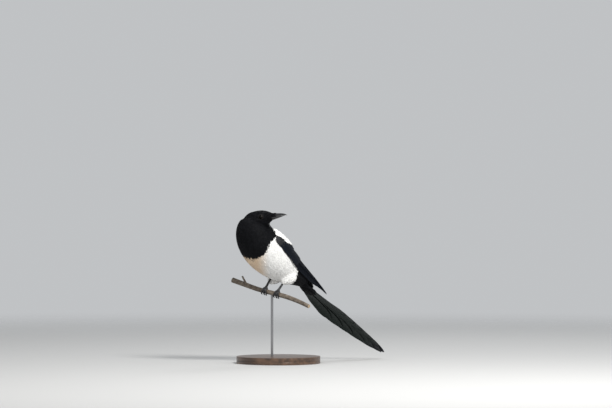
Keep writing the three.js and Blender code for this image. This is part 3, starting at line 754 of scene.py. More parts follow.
def layVanes(name, place, vanes, size, side=1, grid=(13, 7)):
    steps, columns = grid
    shares = np.linspace(0, 1, steps)
    across = np.linspace(-1, 1, columns)
    quads = vaneFaces(steps, columns)
    points, faces, unwraps, featherMaps, tones = [], [], [], [], []
    for k, changes in enumerate(vanes):
        vane = plainVane | changes
        breadth = np.maximum(np.interp(shares, *zip(*vane["blade"])), vane["narrowest"])
        length = vane["root"][0] + (vane["tip"][0] - vane["root"][0]) * shares
        middle = vane["root"][1] + (vane["tip"][1] - vane["root"][1]) * shares
        wide = across[None] * breadth[:, None] * vane["half"]
        crest = np.exp(-((across - vane["shaft"]) / vane["shaftWidth"]) ** 2)[None]
        ridge = vane["ridge"] * crest * (1 - vane["ridgeFade"] * shares[:, None])
        camber = vane["camber"] * (across[None] - vane["shaft"]) ** 2
        swept = vane["sweep"] * across[None] ** 2 * breadth[:, None] * vane["half"]
        height = vane["level"](length)[:, None] - vane["tilt"] * wide - camber + ridge
        thick = vane["thickness"] * (1 - vane["thinning"] * shares[:, None]) + 0 * wide
        for lift in (-thick / 2, thick / 2):
            spots = place(length[:, None] - swept, middle[:, None] + wide, height + lift)
            spots[..., 1] *= side
            points.append(spots.reshape(-1, 3))
        faces.append((quads if side > 0 else quads[:, ::-1]) + k * steps * columns * 2)
        spread = np.stack(((middle[:, None] + wide) / size[1], length[:, None] / size[0] + 0 * wide), -1)
        unwraps.append(np.tile(spread.reshape(-1, 2) * 0.9 + 0.05, (2, 1)))
        featherMaps.append(np.tile(overFeather(shares, across), (2, 1)))
        tones.append(np.full(steps * columns * 2, vane["tone"]))
    piece = meshPiece(name, toRow(np.concatenate(points)), np.concatenate(faces))
    choose(piece)
    bpy.ops.object.shade_smooth_by_angle(angle=math.radians(50))
    addMaps(piece, np.concatenate(unwraps), np.concatenate(featherMaps), np.concatenate(tones))
    print(name, len(vanes), "vanes")
    return piece


# Finishes
barbForm = {"scale": 3.0, "slant": 0.55, "spread": 1.6, "shift": 9.0, "shaft": 0.035, "rimFrom": 0.40}


def plumage(name, dark, light, roughness, barbs=14.0, relief=0.00012, edge=0.0, tint=None, **shader):
    paint = Paint(name)
    feather = paint.add("ShaderNodeUVMap", {"uv_map": "feather"}, {}).out()
    across, lengthwise, _ = paint.parts(feather)
    aside = (across - 0.5).maths("ABSOLUTE")
    tone = paint.attribute("tone")
    # Barbs leave the shaft at a slant, and split here and there
    slanted = lengthwise * barbs - aside * (barbs * barbForm["slant"])
    slant = paint.joined(slanted, aside * barbForm["spread"], tone * barbForm["shift"])
    fibres = paint.noise(barbForm["scale"], 3.0, slant)
    patches = paint.noise(90.0, 2.0)
    rim = aside.above(barbForm["rimFrom"], 0.5)
    shade = (tone * 0.35 + fibres * 0.45 + patches * 0.3).above(0.2, 0.95)
    colour = paint.mix(shade, dark, light)
    if edge:
        colour = paint.mix(rim * edge, colour, tuple(0.35 * v for v in dark))
    if tint:
        colour = tint(paint, colour)
    shaft = 1 - aside.above(0.0, barbForm["shaft"])
    return paint.finish(
        Base_Color=colour,
        Roughness=fibres * 0.2 + (roughness - 0.1),
        Normal=paint.bump(fibres + shaft * 0.8, relief, 0.8),
        **shader,
    )


def birdAxes(paint):  # forward, left and up as shader values
    x, y, z = paint.parts()
    forward = y * -1000.0 - stance["feetForward"]
    return forward, x * 1000.0, z * 1000.0 - stance["perchHeight"]


def paintedShadeAndBounce(paint, colour):  # painted warm shade and reflected light, low on the front of the belly
    forward, left, _ = birdAxes(paint)
    aside = (left + 8.0).maths("ABSOLUTE")
    low = (forward * 0.8 - aside * 0.9 + 10.0).above(2.0, 38.0)
    # a darker warm colour painted in as shade and reflected light
    return paint.mix(low * 0.8, colour, (0.64, 0.45, 0.27))


def tailHues(paint, colour):  # violet near the tip of the tail
    forward, _, _ = birdAxes(paint)
    violet = (forward * -1.0).above(250.0, 285.0)
    return paint.mix(violet * 0.6, colour, (0.010, 0.005, 0.014))


blackPlumage = plumage(
    "blackPlumage",
    dark=(0.0018, 0.0019, 0.0024),
    light=(0.0075, 0.008, 0.010),
    roughness=0.62,
    Specular_IOR_Level=0.07,
)
# The white's warm lower front is painted shade and reflected light
whitePlumage = plumage(
    "whitePlumage",
    dark=(0.74, 0.735, 0.72),
    light=(0.86, 0.86, 0.85),
    roughness=0.8,
    tint=paintedShadeAndBounce,
    Sheen_Weight=0.1,
    Sheen_Roughness=0.5,
    Specular_IOR_Level=0.2,
)
# The shoulder's greyer, mottled light colour is painted sheen on black feathers
shoulderPaintedSheen = plumage(
    "shoulderPaintedSheen",
    dark=(0.0035, 0.004, 0.005),
    light=(0.03, 0.032, 0.036),
    roughness=0.5,
    Sheen_Weight=0.03,
    Sheen_Roughness=0.35,
    Sheen_Tint=(0.6, 0.68, 0.85),
    Specular_IOR_Level=0.25,
)
wingGloss = plumage(
    "wingGloss",
    dark=(0.0015, 0.0018, 0.0030),
    light=(0.0045, 0.006, 0.011),
    roughness=0.42,
    barbs=60.0,
    relief=0.0002,
    edge=0.8,
    Specular_IOR_Level=0.18,
    Specular_Tint=(0.6, 0.75, 1.0),
)
tailGloss = plumage(
    "tailGloss",
    dark=(0.0015, 0.0025, 0.0022),
    light=(0.0045, 0.0085, 0.0075),
    roughness=0.42,
    barbs=110.0,
    relief=0.0002,
    edge=0.8,
    tint=tailHues,
    Specular_IOR_Level=0.2,
    Specular_Tint=(0.75, 1.0, 0.9),
)


def skinFinish():
    paint = Paint("skinFinish")
    forward, left, up = birdAxes(paint)
    blur = markings["blur"]
    hood = hoodShade(paint, forward, left, up).above(-blur, blur)
    rear = rearSide(forward, left, up).above(-blur, blur)
    over = overAxis(forward, left, up)
    mantle = (over - left.maths("ABSOLUTE") * markings["mantle"]).above(-blur, blur)
    black = hood.most(rear).most(mantle)
    mottle = paint.noise(160.0)
    white = paint.mix(mottle, (0.5, 0.49, 0.47), (0.66, 0.65, 0.63))
    return paint.finish(
        Base_Color=paint.mix(black, white, (0.004, 0.0042, 0.005)),
        Roughness=0.9,
        Normal=paint.bump(paint.noise(900.0), 0.0003),
        Specular_IOR_Level=0.06,
    )


def hornFinish():
    paint = Paint("hornFinish")
    growth = paint.noise(1.0, 4.0, paint.stretched((90, 90, 260)))
    wear = paint.noise(420.0, 2.0).above(0.55, 0.75)
    return paint.finish(
        Base_Color=paint.mix(growth, (0.004, 0.004, 0.0045), (0.014, 0.014, 0.015)),
        Roughness=0.2 + wear * 0.16 + growth * 0.08,
        Normal=paint.bump(growth, 0.00012, 0.5),
        Coat_Weight=0.35,
        Coat_Roughness=0.2,
    )


def clawFinish():
    paint = Paint("clawFinish")
    growth = paint.noise(1.0, 4.0, paint.stretched((300, 300, 700)))
    return paint.finish(
        Base_Color=paint.mix(growth, (0.003, 0.003, 0.0035), (0.010, 0.010, 0.011)),
        Roughness=0.45 + growth * 0.1,
        Normal=paint.bump(growth, 0.00005, 0.5),
        Specular_IOR_Level=0.3,
    )


def legFinish():
    paint = Paint("legFinish")
    settings = {"feature": "DISTANCE_TO_EDGE"}
    cells = paint.add("ShaderNodeTexVoronoi", settings, {"Vector": paint.object, "Scale": 900.0})
    seams = cells.out().above(0.02, 0.16)
    scales = paint.mix(paint.noise(240.0, 4.0), (0.012, 0.012, 0.014), (0.03, 0.03, 0.033))
    return paint.finish(
        Base_Color=paint.mix(seams, (0.004, 0.004, 0.005), scales),
        Roughness=0.5 - seams * 0.12,
        Normal=paint.bump(seams, 0.00015, 0.9),
    )


def lidFinish():
    paint = Paint("lidFinish")
    creases = paint.noise(1500.0, 3.0)
    return paint.finish(
        Base_Color=paint.mix(creases, (0.004, 0.004, 0.0045), (0.012, 0.012, 0.013)),
        Roughness=0.6,
        Normal=paint.bump(creases, 0.0002, 0.6),
        Specular_IOR_Level=0.25,
    )


def eyeFinish():
    paint = Paint("eyeFinish")
    shine = paint.attribute("iris")
    streaks = paint.noise(900.0, 3.0)
    iris = paint.mix(streaks, (0.0026, 0.0013, 0.0008), (0.0075, 0.0036, 0.0022))
    return paint.finish(
        Base_Color=paint.mix(shine.above(0.45, 0.55), (0.0015, 0.0015, 0.0015), iris),
        Roughness=0.06,
        Specular_IOR_Level=0.12,
    )


def barkFinish():
    paint = Paint("barkFinish")
    grain = paint.noise(1.0, 5.0, paint.stretched((60, 420, 420), (0, 0, math.radians(-15))))
    plates = paint.noise(150.0, 5.0)
    spread = {"Vector": paint.stretched((330, 620, 620)), "Scale": 1.0}
    pores = paint.add("ShaderNodeTexVoronoi", {}, spread).out("Distance")
    lenticels = 1 - pores.above(0.1, 0.22)
    base = paint.mix(plates.above(0.3, 0.7), (0.085, 0.064, 0.047), (0.21, 0.175, 0.14))
    base = paint.mix(grain.above(0.35, 0.75) * 0.5, base, (0.045, 0.035, 0.027))
    return paint.finish(
        Base_Color=paint.mix(lenticels * 0.7, base, (0.36, 0.29, 0.21)),
        Roughness=0.72 + plates * 0.2,
        Normal=paint.bump(grain + plates + lenticels * 0.6, 0.0006, 0.8),
    )


def cutFinish():  # the sawn ends of the branch
    paint = Paint("cutFinish")
    rings = paint.noise(1.0, 3.0, paint.stretched((40, 900, 900)))
    return paint.finish(
        Base_Color=paint.mix(rings, (0.30, 0.21, 0.13), (0.52, 0.41, 0.28)),
        Roughness=0.8,
        Normal=paint.bump(rings, 0.0002, 0.6),
    )


def steelFinish():
    paint = Paint("steelFinish")
    brushed = paint.noise(1.0, 3.0, paint.stretched((900, 900, 25)))
    return paint.finish(
        Base_Color=paint.mix(brushed, (0.24, 0.24, 0.25), (0.40, 0.40, 0.41)),
        Metallic=1.0,
        Roughness=0.26 + brushed * 0.14,
    )


def woodFinish():
    paint = Paint("woodFinish")
    rings = paint.noise(1.0, 5.0, paint.stretched((14, 150, 150)))
    pores = paint.noise(1.0, 3.0, paint.stretched((120, 1400, 1400)))
    base = paint.mix(rings.above(0.3, 0.7), (0.045, 0.024, 0.014), (0.13, 0.072, 0.042))
    return paint.finish(
        Base_Color=paint.mix(pores.above(0.55, 0.8) * 0.6, base, (0.025, 0.014, 0.009)),
        Roughness=0.34 + pores * 0.12,
        Normal=paint.bump(pores, 0.0001, 0.4),
        Coat_Weight=0.25,
        Coat_Roughness=0.25,
    )


# The coat, tract by tract
tuftOutline = [(0, 0.4), (0.3, 0.85), (0.6, 1), (0.82, 0.78), (0.95, 0.42), (1, 0.1)]
plumeOutline = [(0, 0.4), (0.25, 0.82), (0.5, 1), (0.75, 0.96), (0.9, 0.72), (1, 0.3)]
neckTop = np.array([36.0, 2.0, 150.0])
billTip = onHead(54.0, 0.0, -3.0)
tailward = np.array([-math.cos(markings["axisTilt"]), 0.0, -math.sin(markings["axisTilt"])])
coatForm = {
    "roots": 330000,  # the places that the roots of all tracts are picked from
    "seed": 2,
    "dense": 32.0,  # the places lie closer together within this of the bill
    "density": 7.0,
    "ragged": 1.1,
    "black": 113.0,  # every feather above this height is black
    "hoodTips": 9.5,  # how far behind their roots the tips lie, where the colour is settled
    "rearTips": 12.0,
    "lidTips": 2.9,
    "eyeRoom": 5.1,
    "face": (3.0, 30.0),  # how far from the base of the bill the face's feathers start and end
    "hoodFrom": 104.0,  # the hood's small feathers lie above this height and the bib's below
    "front": 0.02,  # the shoulder of the wing, as a share of its length
    "shoulderTo": 0.17,
}
scapularForm = {
    "shares": [0, 0.06, 0.12, 0.235],
    "outer": [8, 13.5, 17, 19.5],
    "inner": 4.0,
    "from": 0.012,
    "coverShares": (0.0, 0.07, 0.117, 0.164),  # where they hide the shoulder, and how far in
    "cover": (8, 12, 17, 22),
}


def lie(points, normals):  # the way the plumage runs
    fromBill = unit(points - billTip)
    down = np.array([-0.25, 0.0, -1.0])
    ahead, above = inHead(points)
    onHeadShare = smoothStep(ahead + 0.6 * above, -24, -2)
    fromNeck = unit(points - neckTop)
    rearShare = smoothStep(55 - points[:, 0], 0, 70)[:, None]
    body = unit(fromNeck * 0.5 + down) * (1 - rearShare) + unit(tailward + fromNeck * 0.4) * rearShare
    mixed = fromBill * onHeadShare[:, None] + unit(body) * (1 - onHeadShare[:, None])
    return unit(mixed - normals * (mixed * normals).sum(-1, keepdims=True))


def inHead(points):  # forward and up in the head's own frame
    apart = points - stance["headMiddle"]
    return apart @ billHeading, apart @ headUp


def faceReach(points):  # how far a point is from the base of the bill
    return np.linalg.norm(points - onHead(22.0, 0.0, -2.5), axis=1)


def eyeApart(points):  # how far a point is from the line through the nearer eye
    found = []
    for centre, facing in eyes:
        away, height = fromEye(points, centre, facing)
        found.append(np.where(height > skinForm["eyeSide"], away, 99.0))
    return np.minimum(*found)


def folded(points):  # both sides of the bird on its left
    return points * np.array([1, 0, 1]) + np.abs(points) * np.array([0, 1, 0])


# A net of places over each wing tells the feathers near it where they are
wingNet = {"rows": 70, "columns": 24, "margin": 0.02, "level": -1.2, "edgeRows": 200}
netShares = np.linspace(0, 1, wingNet["rows"])
netAcross = np.linspace(wingNet["margin"], 1 - wingNet["margin"], wingNet["columns"])
wingSpots = wingPoint(*np.meshgrid(netShares, netAcross, indexing="ij"), wingNet["level"]).reshape(-1, 3)
wingTree = treeOf(wingSpots)
edgeShares = np.linspace(0, 1, wingNet["edgeRows"])
upperEdge = along(wingForm["upper"], edgeShares)
upperTree = treeOf(upperEdge)


def wingSides(points):  # how far along the wings' upper edges a point is, and how far off them
    found = [upperTree.find(point) for point in folded(points).tolist()]
    return edgeShares[np.array([hit[1] for hit in found])], np.array([hit[2] for hit in found])


def wingPlaces(points):  # the share along and across the nearest part of a wing, and how far off it is
    found = [wingTree.find(point) for point in folded(points).tolist()]
    row, column = np.divmod(np.array([hit[1] for hit in found]), wingNet["columns"])
    return netShares[row], netAcross[column], np.array([hit[2] for hit in found])


def edgeFlow(points, normals):  # along the wings' upper edges
    share, _ = wingSides(points)
    ahead = unit(along(wingForm["upper"], share + 0.03) - along(wingForm["upper"], share - 0.03))
    ahead[:, 1] *= np.sign(points[:, 1])
    return unit(ahead - normals * (ahead * normals).sum(-1, keepdims=True))


def wingFlow(points, normals):  # along the wings
    index = np.array([wingTree.find(point)[1] for point in folded(points).tolist()])
    later = np.minimum(index + wingNet["columns"] * 2, len(wingSpots) - 1)
    ahead = wingSpots[later] - wingSpots[index]
    ahead[:, 1] *= np.sign(points[:, 1])
    return unit(ahead - normals * (ahead * normals).sum(-1, keepdims=True))


def always(value):
    return lambda points: value + 0 * points[:, 0]


def byFace(near, far, start=6, end=60):  # a size that grows away from the bill
    return lambda points: near + (far - near) * smoothStep(faceReach(points), start, end)


def sized(value):
    return value if callable(value) else always(value)


plainTuft = {
    "outline": tuftOutline,
    "columns": 3,
    "wander": 6,  # degrees
    "sink": 1.5,
    "lift": 0.2,
    "cup": 0.22,
    "round": 0.0,
    "fray": 0.04,
}


def tuft(length, half, **changes):
    return plainTuft | {"length": sized(length), "half": sized(half)} | changes


def buildCoat(surface):
    random = np.random.default_rng(coatForm["seed"])

    def density(middles):
        return 1 + coatForm["density"] * (faceReach(middles) < coatForm["dense"])

    roots = surface.scatter(coatForm["roots"], density, coatForm["seed"])
    points, normals, _ = roots
    share, across, apart = wingPlaces(points)
    edgeShare, edgeApart = wingSides(points)
    reach = faceReach(points)
    jitter = random.normal(0, coatForm["ragged"], len(points))
    flow = lie(points, normals)

    def tips(length):
        return (points + flow * length).T

    # Which feathers are black is settled where their tips lie
    hood = (hoodSide(*tips(coatForm["hoodTips"])) + jitter > 0) | (points[:, 2] > coatForm["black"])
    rear = rearSide(*tips(coatForm["rearTips"])) + jitter > 0
    # What the wings cover has no feathers, or they would come through
    inFront = (share < 0.5) & (share > coatForm["front"])
    back = (across > 0.5) & (points[:, 0] < 30)
    under = inFront & (apart < 8) & (across > 0.2) & (across < 0.8)
    deep = inFront & (apart < 6) & (across > 0.34) & (across < 0.8)
    onWing = ((apart < 3.2) & (share > coatForm["front"])) | under
    inward = (1 - across) * along(wingWidths, share)
    covered = inward < np.interp(share, scapularForm["coverShares"], scapularForm["cover"])
    # The white feathers along the upper edge of each wing
    outer = np.abs(points[:, 1]) > np.interp(edgeShare, edgeShares, upperEdge[:, 1])
    reachOut = np.interp(edgeShare, scapularForm["shares"], scapularForm["outer"])
    edged = (edgeShare > scapularForm["from"]) & (edgeShare < scapularForm["shares"][-1])
    scapular = edged & (edgeApart < np.where(outer, reachOut, scapularForm["inner"]))
    faceFrom, faceTo = coatForm["face"]
    face = (reach < faceTo) & (reach > faceFrom)
    lidTips = points + flow * coatForm["lidTips"]
    bare = (np.minimum(eyeApart(points), eyeApart(lidTips)) < coatForm["eyeRoom"]) | (reach <= faceFrom)
    black, white = ("black_feathers", blackPlumage), ("body_feathers", whitePlumage)

    def tract(name, kept, spacing, shape, seed, material, heading=lie):
        chosen = thinned(roots, kept & ~bare, spacing)
        piece = layFeathers(name + "_feathers", surface, chosen, heading, shape, seed)
        settle(piece, *material)

    small = tuft(byFace(2.4, 5.4), byFace(0.42, 1.0), sink=0.9)
    tract("face", face, byFace(0.52, 1.0, 4, 30), small, 4, black)
    cowl = ~face & hood & ~back & ~onWing & ~scapular
    upper = cowl & (points[:, 2] > coatForm["hoodFrom"])
    tract("hood", upper, byFace(1.0, 1.25, 28, 60), tuft(byFace(4.0, 9.0), byFace(0.8, 1.5)), 6, black)
    tract("bib", cowl & ~upper, always(1.35), tuft(11.0, 1.8), 8, black)
    below = ~hood & ~back & ~face
    pressed = (apart < 1.6) & (across > 0.1) & (share > coatForm["front"])
    soft = tuft(16.0, 2.3, columns=5, sink=1.9, cup=0.1, fray=0.05)
    tract("belly", below & ~rear & ~(pressed | deep), always(1.6), soft, 12, white)
    tract("vent", below & rear & ~under, always(1.7), tuft(13.0, 2.1, sink=1.9), 20, black)
    mantle = back & ~(under | (apart < 1.8)) & ~scapular & ~face
    tract("mantle", mantle, always(1.55), tuft(12.0, 2.0), 14, black)
    broad = {"outline": plumeOutline, "round": 0.1}
    quilted = tuft(14.0, 2.7, columns=7, wander=3, sink=0.3, lift=1.3, cup=0.12, fray=0.01, **broad)
    tract("scapular", scapular, always(1.9), quilted, 18, white, edgeFlow)
    shoulder = (apart < 3.4) & (share > coatForm["front"]) & (share < coatForm["shoulderTo"])
    shoulder = shoulder & (across > 0.06) & ~scapular & ~covered
    plain = tuft(10.0, 2.6, columns=5, wander=4, sink=0.2, lift=1.2, cup=0.14, fray=0.02, **broad)
    # these feathers carry the painted grey sheen of the shoulder
    tract("shoulder", shoulder, always(1.9), plain, 31, ("glossy_feathers", shoulderPaintedSheen), wingFlow)


# Wing feathers, tier by tier, as the solids have them but finer
quillBlade = [
    (0, 0.3), (0.12, 0.62), (0.3, 0.9), (0.5, 1), (0.78, 1),
    (0.88, 0.86), (0.95, 0.6), (0.985, 0.3), (1, 0.06),
]
covertBlade = [(0, 0.35), (0.2, 0.75), (0.45, 1), (0.75, 1), (0.88, 0.85), (0.96, 0.55), (1, 0.12)]
wingTiers = {
    "primaries": {
        "across": [3.0, 4.6, 6.2, 7.8, 9.4, 11.0, 12.6, 14.0],
        "tips": [180, 192, 201, 207, 208, 205, 200, 193], "half": 4.4, "sink": 0.36,
    },
    "secondaries": {
        "across": [17.6, 20.6, 23.6, 26.6, 29.6, 32.4, 35.0],
        "tips": [180, 174, 167, 159, 150, 140, 130], "half": 5.4, "sink": 0.0,
    },
    "tertials": {"across": [38.4, 41.4, 43.6], "tips": [118, 106, 93], "half": 5.6, "sink": 0.0},
}
covertTiers = {  # where each row's roots and tips lie along the wing, and how it is spaced across it
    "greater": {"root": 43, "tip": 92, "first": 4.4, "pitch": 4.1, "count": 11, "half": 4.5},
    "median": {"root": 20, "tip": 60, "first": 5.0, "pitch": 3.9, "count": 11, "half": 4.2},
}


def readLevel(pairs):
    return lambda length: np.interp(length, *zip(*pairs))


levels = {
    "flight": readLevel([(60, -5.6), (92, -5.2), (150, -2.6), (207, -1.8)]),
    "greater": readLevel([(43, -4.4), (60, -3.3), (92, -2.2)]),
    "median": readLevel([(19, -2.2), (32, -1.6), (58, -0.5)]),
}


def buildWing(side, label, seed):
    random = np.random.default_rng(seed)
    quills, coverts = [], []
    for tier, form in wingTiers.items():
        for k, (across, tip) in enumerate(zip(form["across"], form["tips"])):
            below = form["sink"] * (len(form["across"]) - 1 - k)
            quills.append({
                "root": (60 + random.uniform(-2, 2), across * 0.96 + 1),
                "tip": (tip + random.uniform(-1.2, 1.2), across + random.uniform(-0.15, 0.15)),
                "half": form["half"] * (1 + random.uniform(-0.03, 0.03)),
                "level": lambda length, below=below: levels["flight"](length) - below,
                "tilt": wingForm["tilt"], "blade": quillBlade, "shaft": -0.3, "ridge": 0.35,
                "camber": 0.3, "tone": random.random(),
            })
    for tier, form in covertTiers.items():
        for k in range(form["count"]):
            across = form["first"] + form["pitch"] * k
            shorter = abs(k / (form["count"] - 1) - 0.45) * 8
            coverts.append({
                "root": (form["root"] + random.uniform(-1, 1), across * 0.92),
                "tip": (
                    form["tip"] + random.uniform(-1.6, 1.6) - shorter,
                    across + random.uniform(-0.2, 0.2),
                ),
                "half": form["half"] * (1 + random.uniform(-0.05, 0.05)),
                "level": levels[tier], "tilt": wingForm["tilt"] * 0.85, "blade": covertBlade,
                "ridge": 0.2, "camber": 0.4, "tone": random.random(), "sweep": 0.12,
            })
    flight = layVanes(f"wing_{label}_quills", wingPlace, quills, wingForm["sheet"], side, (26, 9))
    settle(flight, "glossy_feathers", wingGloss, f"wing_{label}")
    cover = layVanes(f"wing_{label}_coverts", wingPlace, coverts, wingForm["sheet"], side, (14, 9))
    settle(cover, "glossy_feathers", wingGloss)


plumeBlade = [(0, 0.35), (0.2, 0.75), (0.5, 1), (0.75, 0.92), (0.9, 0.68), (0.97, 0.4), (1, 0.1)]
scapularRows = {
    "tips": [15, 25, 35, 45, 55, 63],
    "counts": [5, 7, 8, 8, 7, 4],
    "length": 23.0,
    "pitch": 3.4,
    "half": 4.4,
    "front": 2.0,  # no root lies before this
    "sunk": 6.0,  # roots before this are sunk deeper
    "overlap": 0.3,
}


def buildScapulars(side, label, seed):  # the white feathers over the top of each wing
    random = np.random.default_rng(seed)
    plumes = []
    last = len(scapularRows["tips"]) - 1
    for row, (tip, count) in enumerate(zip(scapularRows["tips"], scapularRows["counts"])):
        width = float(along(wingWidths, tip / wingForm["run"]))
        start = max(tip - scapularRows["length"], scapularRows["front"])
        narrower = float(along(wingWidths, start / wingForm["run"])) / width
        low = -2.6 if start < scapularRows["sunk"] else -1.0
        level = readLevel([(start, low), (tip, 1.3 + scapularRows["overlap"] * (last - row))])
        for k in range(count):
            across = width - 0.5 - scapularRows["pitch"] * (k + 0.5 * (row % 2)) + random.uniform(-0.5, 0.5)
            plumes.append({
                "root": (start + random.uniform(-1.5, 1.5), across * narrower),
                "tip": (tip + random.uniform(-1.5, 1.5) - 0.8 * k, across),
                "half": scapularRows["half"] * random.uniform(0.9, 1.1),
                "level": level, "blade": plumeBlade,
                "tilt": wingForm["tilt"] * 0.4 + random.uniform(-0.05, 0.05),
                "ridge": 0.12, "camber": 0.5, "thickness": 0.25, "tone": random.random(), "sweep": 0.1,
            })
    scapulars = layVanes(f"scapulars_{label}", wingPlace, plumes, wingForm["sheet"], side, (12, 7))
    settle(scapulars, "body_feathers", whitePlumage)


tailBlade = [
    (0, 0.18), (0.16, 0.62), (0.4, 1), (0.76, 1), (0.86, 0.84), (0.94, 0.55), (0.985, 0.28), (1, 0.08),
]
tailCoverts = {
    "rows": [(1.6, -12, 34), (2.2, -22, 18), (2.8, -32, 4)],  # level, root and tip
    "count": 7,
    "pitch": 4.6,
    "half": 4.6,
    "rounding": 3,
}


def levelAt(height):
    return lambda length: height + 0 * length


def buildTail():
    random = np.random.default_rng(37)
    drop = tailForm["drop"]
    vanes = []
    for side in (1, -1):
        for k, length in enumerate(tailForm["reach"]):
            tier = k + (1 if k > 0 or side < 0 else 0)  # the middle pair lies one over the other
            vanes.append({
                "root": (14, side * (1.6 + 1.1 * k)),
                "tip": (
                    length + random.uniform(-2, 2),
                    side * (tailForm["across"][k] + random.uniform(-0.3, 0.3)),
                ),
                "half": tailForm["half"][k], "level": levelAt(-0.6 - drop * tier), "blade": tailBlade,
                "shaft": 0.22 * side, "ridge": 0.4, "camber": 0.45, "tone": random.random(),
            })
    feathers = layVanes("tail_quills", tailPlace, vanes, tailForm["sheet"], 1, (30, 11))
    settle(feathers, "glossy_feathers", tailGloss, "tail")
    coverts = []
    for level, root, tip in tailCoverts["rows"]:
        for k in range(tailCoverts["count"]):
            aside = k - (tailCoverts["count"] - 1) // 2
            across = aside * tailCoverts["pitch"]
            coverts.append({
                "root": (root + random.uniform(-2, 2), across * 0.6),
                "tip": (
                    tip - abs(aside) * tailCoverts["rounding"] + random.uniform(-2, 2),
                    across + random.uniform(-0.4, 0.4),
                ),
                "half": tailCoverts["half"], "level": levelAt(level), "blade": covertBlade,
                "camber": 0.6, "tone": random.random(), "sweep": 0.1,
            })
    cover = layVanes("tail_coverts", tailPlace, coverts, tailForm["sheet"], 1, (12, 7))
    settle(cover, "black_feathers", blackPlumage)


# A smooth rounding of CAD nodes, at their size
def softCopy(name, node, voxel, smoothing, slot, material, *others):
    piece = nodeCopy(name, node, *others)
    modify(piece, "REMESH", mode="VOXEL", voxel_size=voxel)
    applyAll(piece)
    piece = keepLargest(piece)
    modify(piece, "SMOOTH", factor=0.5, iterations=smoothing)
    applyAll(piece)
    piece.data.shade_smooth()
    settle(piece, slot, material, node, *others)
    return piece


# Keeps the sharp edges of a CAD node and rounds the rest
def roundedCopy(name, node, slot, material, levels=2, crease=38):
    piece = nodeCopy(name, node)
    choose(piece)
    bpy.ops.object.mode_set(mode="EDIT")
    bpy.ops.mesh.select_all(action="SELECT")
    bpy.ops.mesh.tris_convert_to_quads(face_threshold=math.radians(50), shape_threshold=math.radians(60))
    bpy.ops.mesh.select_all(action="DESELECT")
    bpy.ops.mesh.select_mode(type="EDGE")
    bpy.ops.mesh.edges_select_sharp(sharpness=math.radians(crease))
    bpy.ops.transform.edge_crease(value=0.8)
    bpy.ops.object.mode_set(mode="OBJECT")
    modify(piece, "SUBSURF", levels=levels, render_levels=levels)
    applyAll(piece)
    piece.data.shade_smooth()
    settle(piece, slot, material, node)
    return piece


bristleForm = {"rootTo": 25.5, "above": -2.5, "spacing": 0.5, "length": 7.5, "half": 0.34, "seed": 53}


def buildBristles(bill, surface):  # stiff feathers that lie forward over the base of the bill
    random = np.random.default_rng(bristleForm["seed"])
    horn = Surface(bill)
    ahead, above = inHead(horn.points)
    order = random.permutation(len(horn.points))
    order = order[(ahead[order] < bristleForm["rootTo"]) & (above[order] > bristleForm["above"])]
    roots = (horn.points[order], horn.normals[order], surface.unwrapAt(horn.points[order]))
    chosen = thinned(roots, np.ones(len(order), bool), always(bristleForm["spacing"]))

    def forward(points, normals):
        return unit(billHeading - normals * (normals @ billHeading)[:, None])

    shape = tuft(bristleForm["length"], bristleForm["half"], wander=8, sink=0.0, lift=0.7, fray=0.02)
    bristles = layFeathers("bristle_feathers", horn, chosen, forward, shape, bristleForm["seed"] + 1)
    settle(bristles, "black_feathers", blackPlumage)


eyeForm = {
    "radius": 0.00597,
    "irisSpan": 60.0,  # degrees from the middle of the pupil where the iris value is 1
    "lidRadius": 0.0049,
    "lidThickness": 0.0008,
    "lidFlatness": 0.8,
    "lidOut": 0.0034,
}


def buildEyes(material, lidMaterial):
    centres = eyeCentres()
    axis = (centres["left"] - centres["right"]).normalized()
    radius = eyeForm["radius"]
    for label, side in (("left", 1), ("right", -1)):
        turn = (axis * side).to_track_quat("Z", "Y").to_matrix().to_4x4()
        sphere = bpy.ops.mesh.primitive_uv_sphere_add
        ball = basicShape(f"eyeball_{label}", sphere, segments=48, ring_count=32, radius=radius)
        slants = [math.degrees(math.acos(max(-1, min(1, v.co.z / radius)))) for v in ball.data.vertices]
        iris = ball.data.attributes.new("iris", "FLOAT", "POINT")
        iris.data.foreach_set("value", [slant / eyeForm["irisSpan"] for slant in slants])
        ball.data.transform(Matrix.Translation(centres[label]) @ turn)
        ball.data.shade_smooth()
        settle(ball, "eye", material, f"eye_{label}")
        lid = basicShape(
            f"lid_{label}",
            bpy.ops.mesh.primitive_torus_add,
            major_radius=eyeForm["lidRadius"],
            minor_radius=eyeForm["lidThickness"],
            major_segments=56,
            minor_segments=16,
        )
        lid.data.transform(Matrix.Scale(eyeForm["lidFlatness"], 4, (0, 0, 1)))
        lid.data.transform(Matrix.Translation(centres[label] + axis * side * eyeForm["lidOut"]) @ turn)
        lid.data.shade_smooth()
        settle(lid, "leg", lidMaterial)


standForm = {
    "sides": 160,
    "round": 0.0024,
    "steps": 5,
    "groove": 0.0006,
    "grooveAt": 0.35,  # as a share of the base's height
    "grooveWidth": 0.1,
    "grooveWall": 0.02,
    "cutFrom": 0.08,  # the branch's sawn ends lie past this
    "cutFacing": 0.75,
}


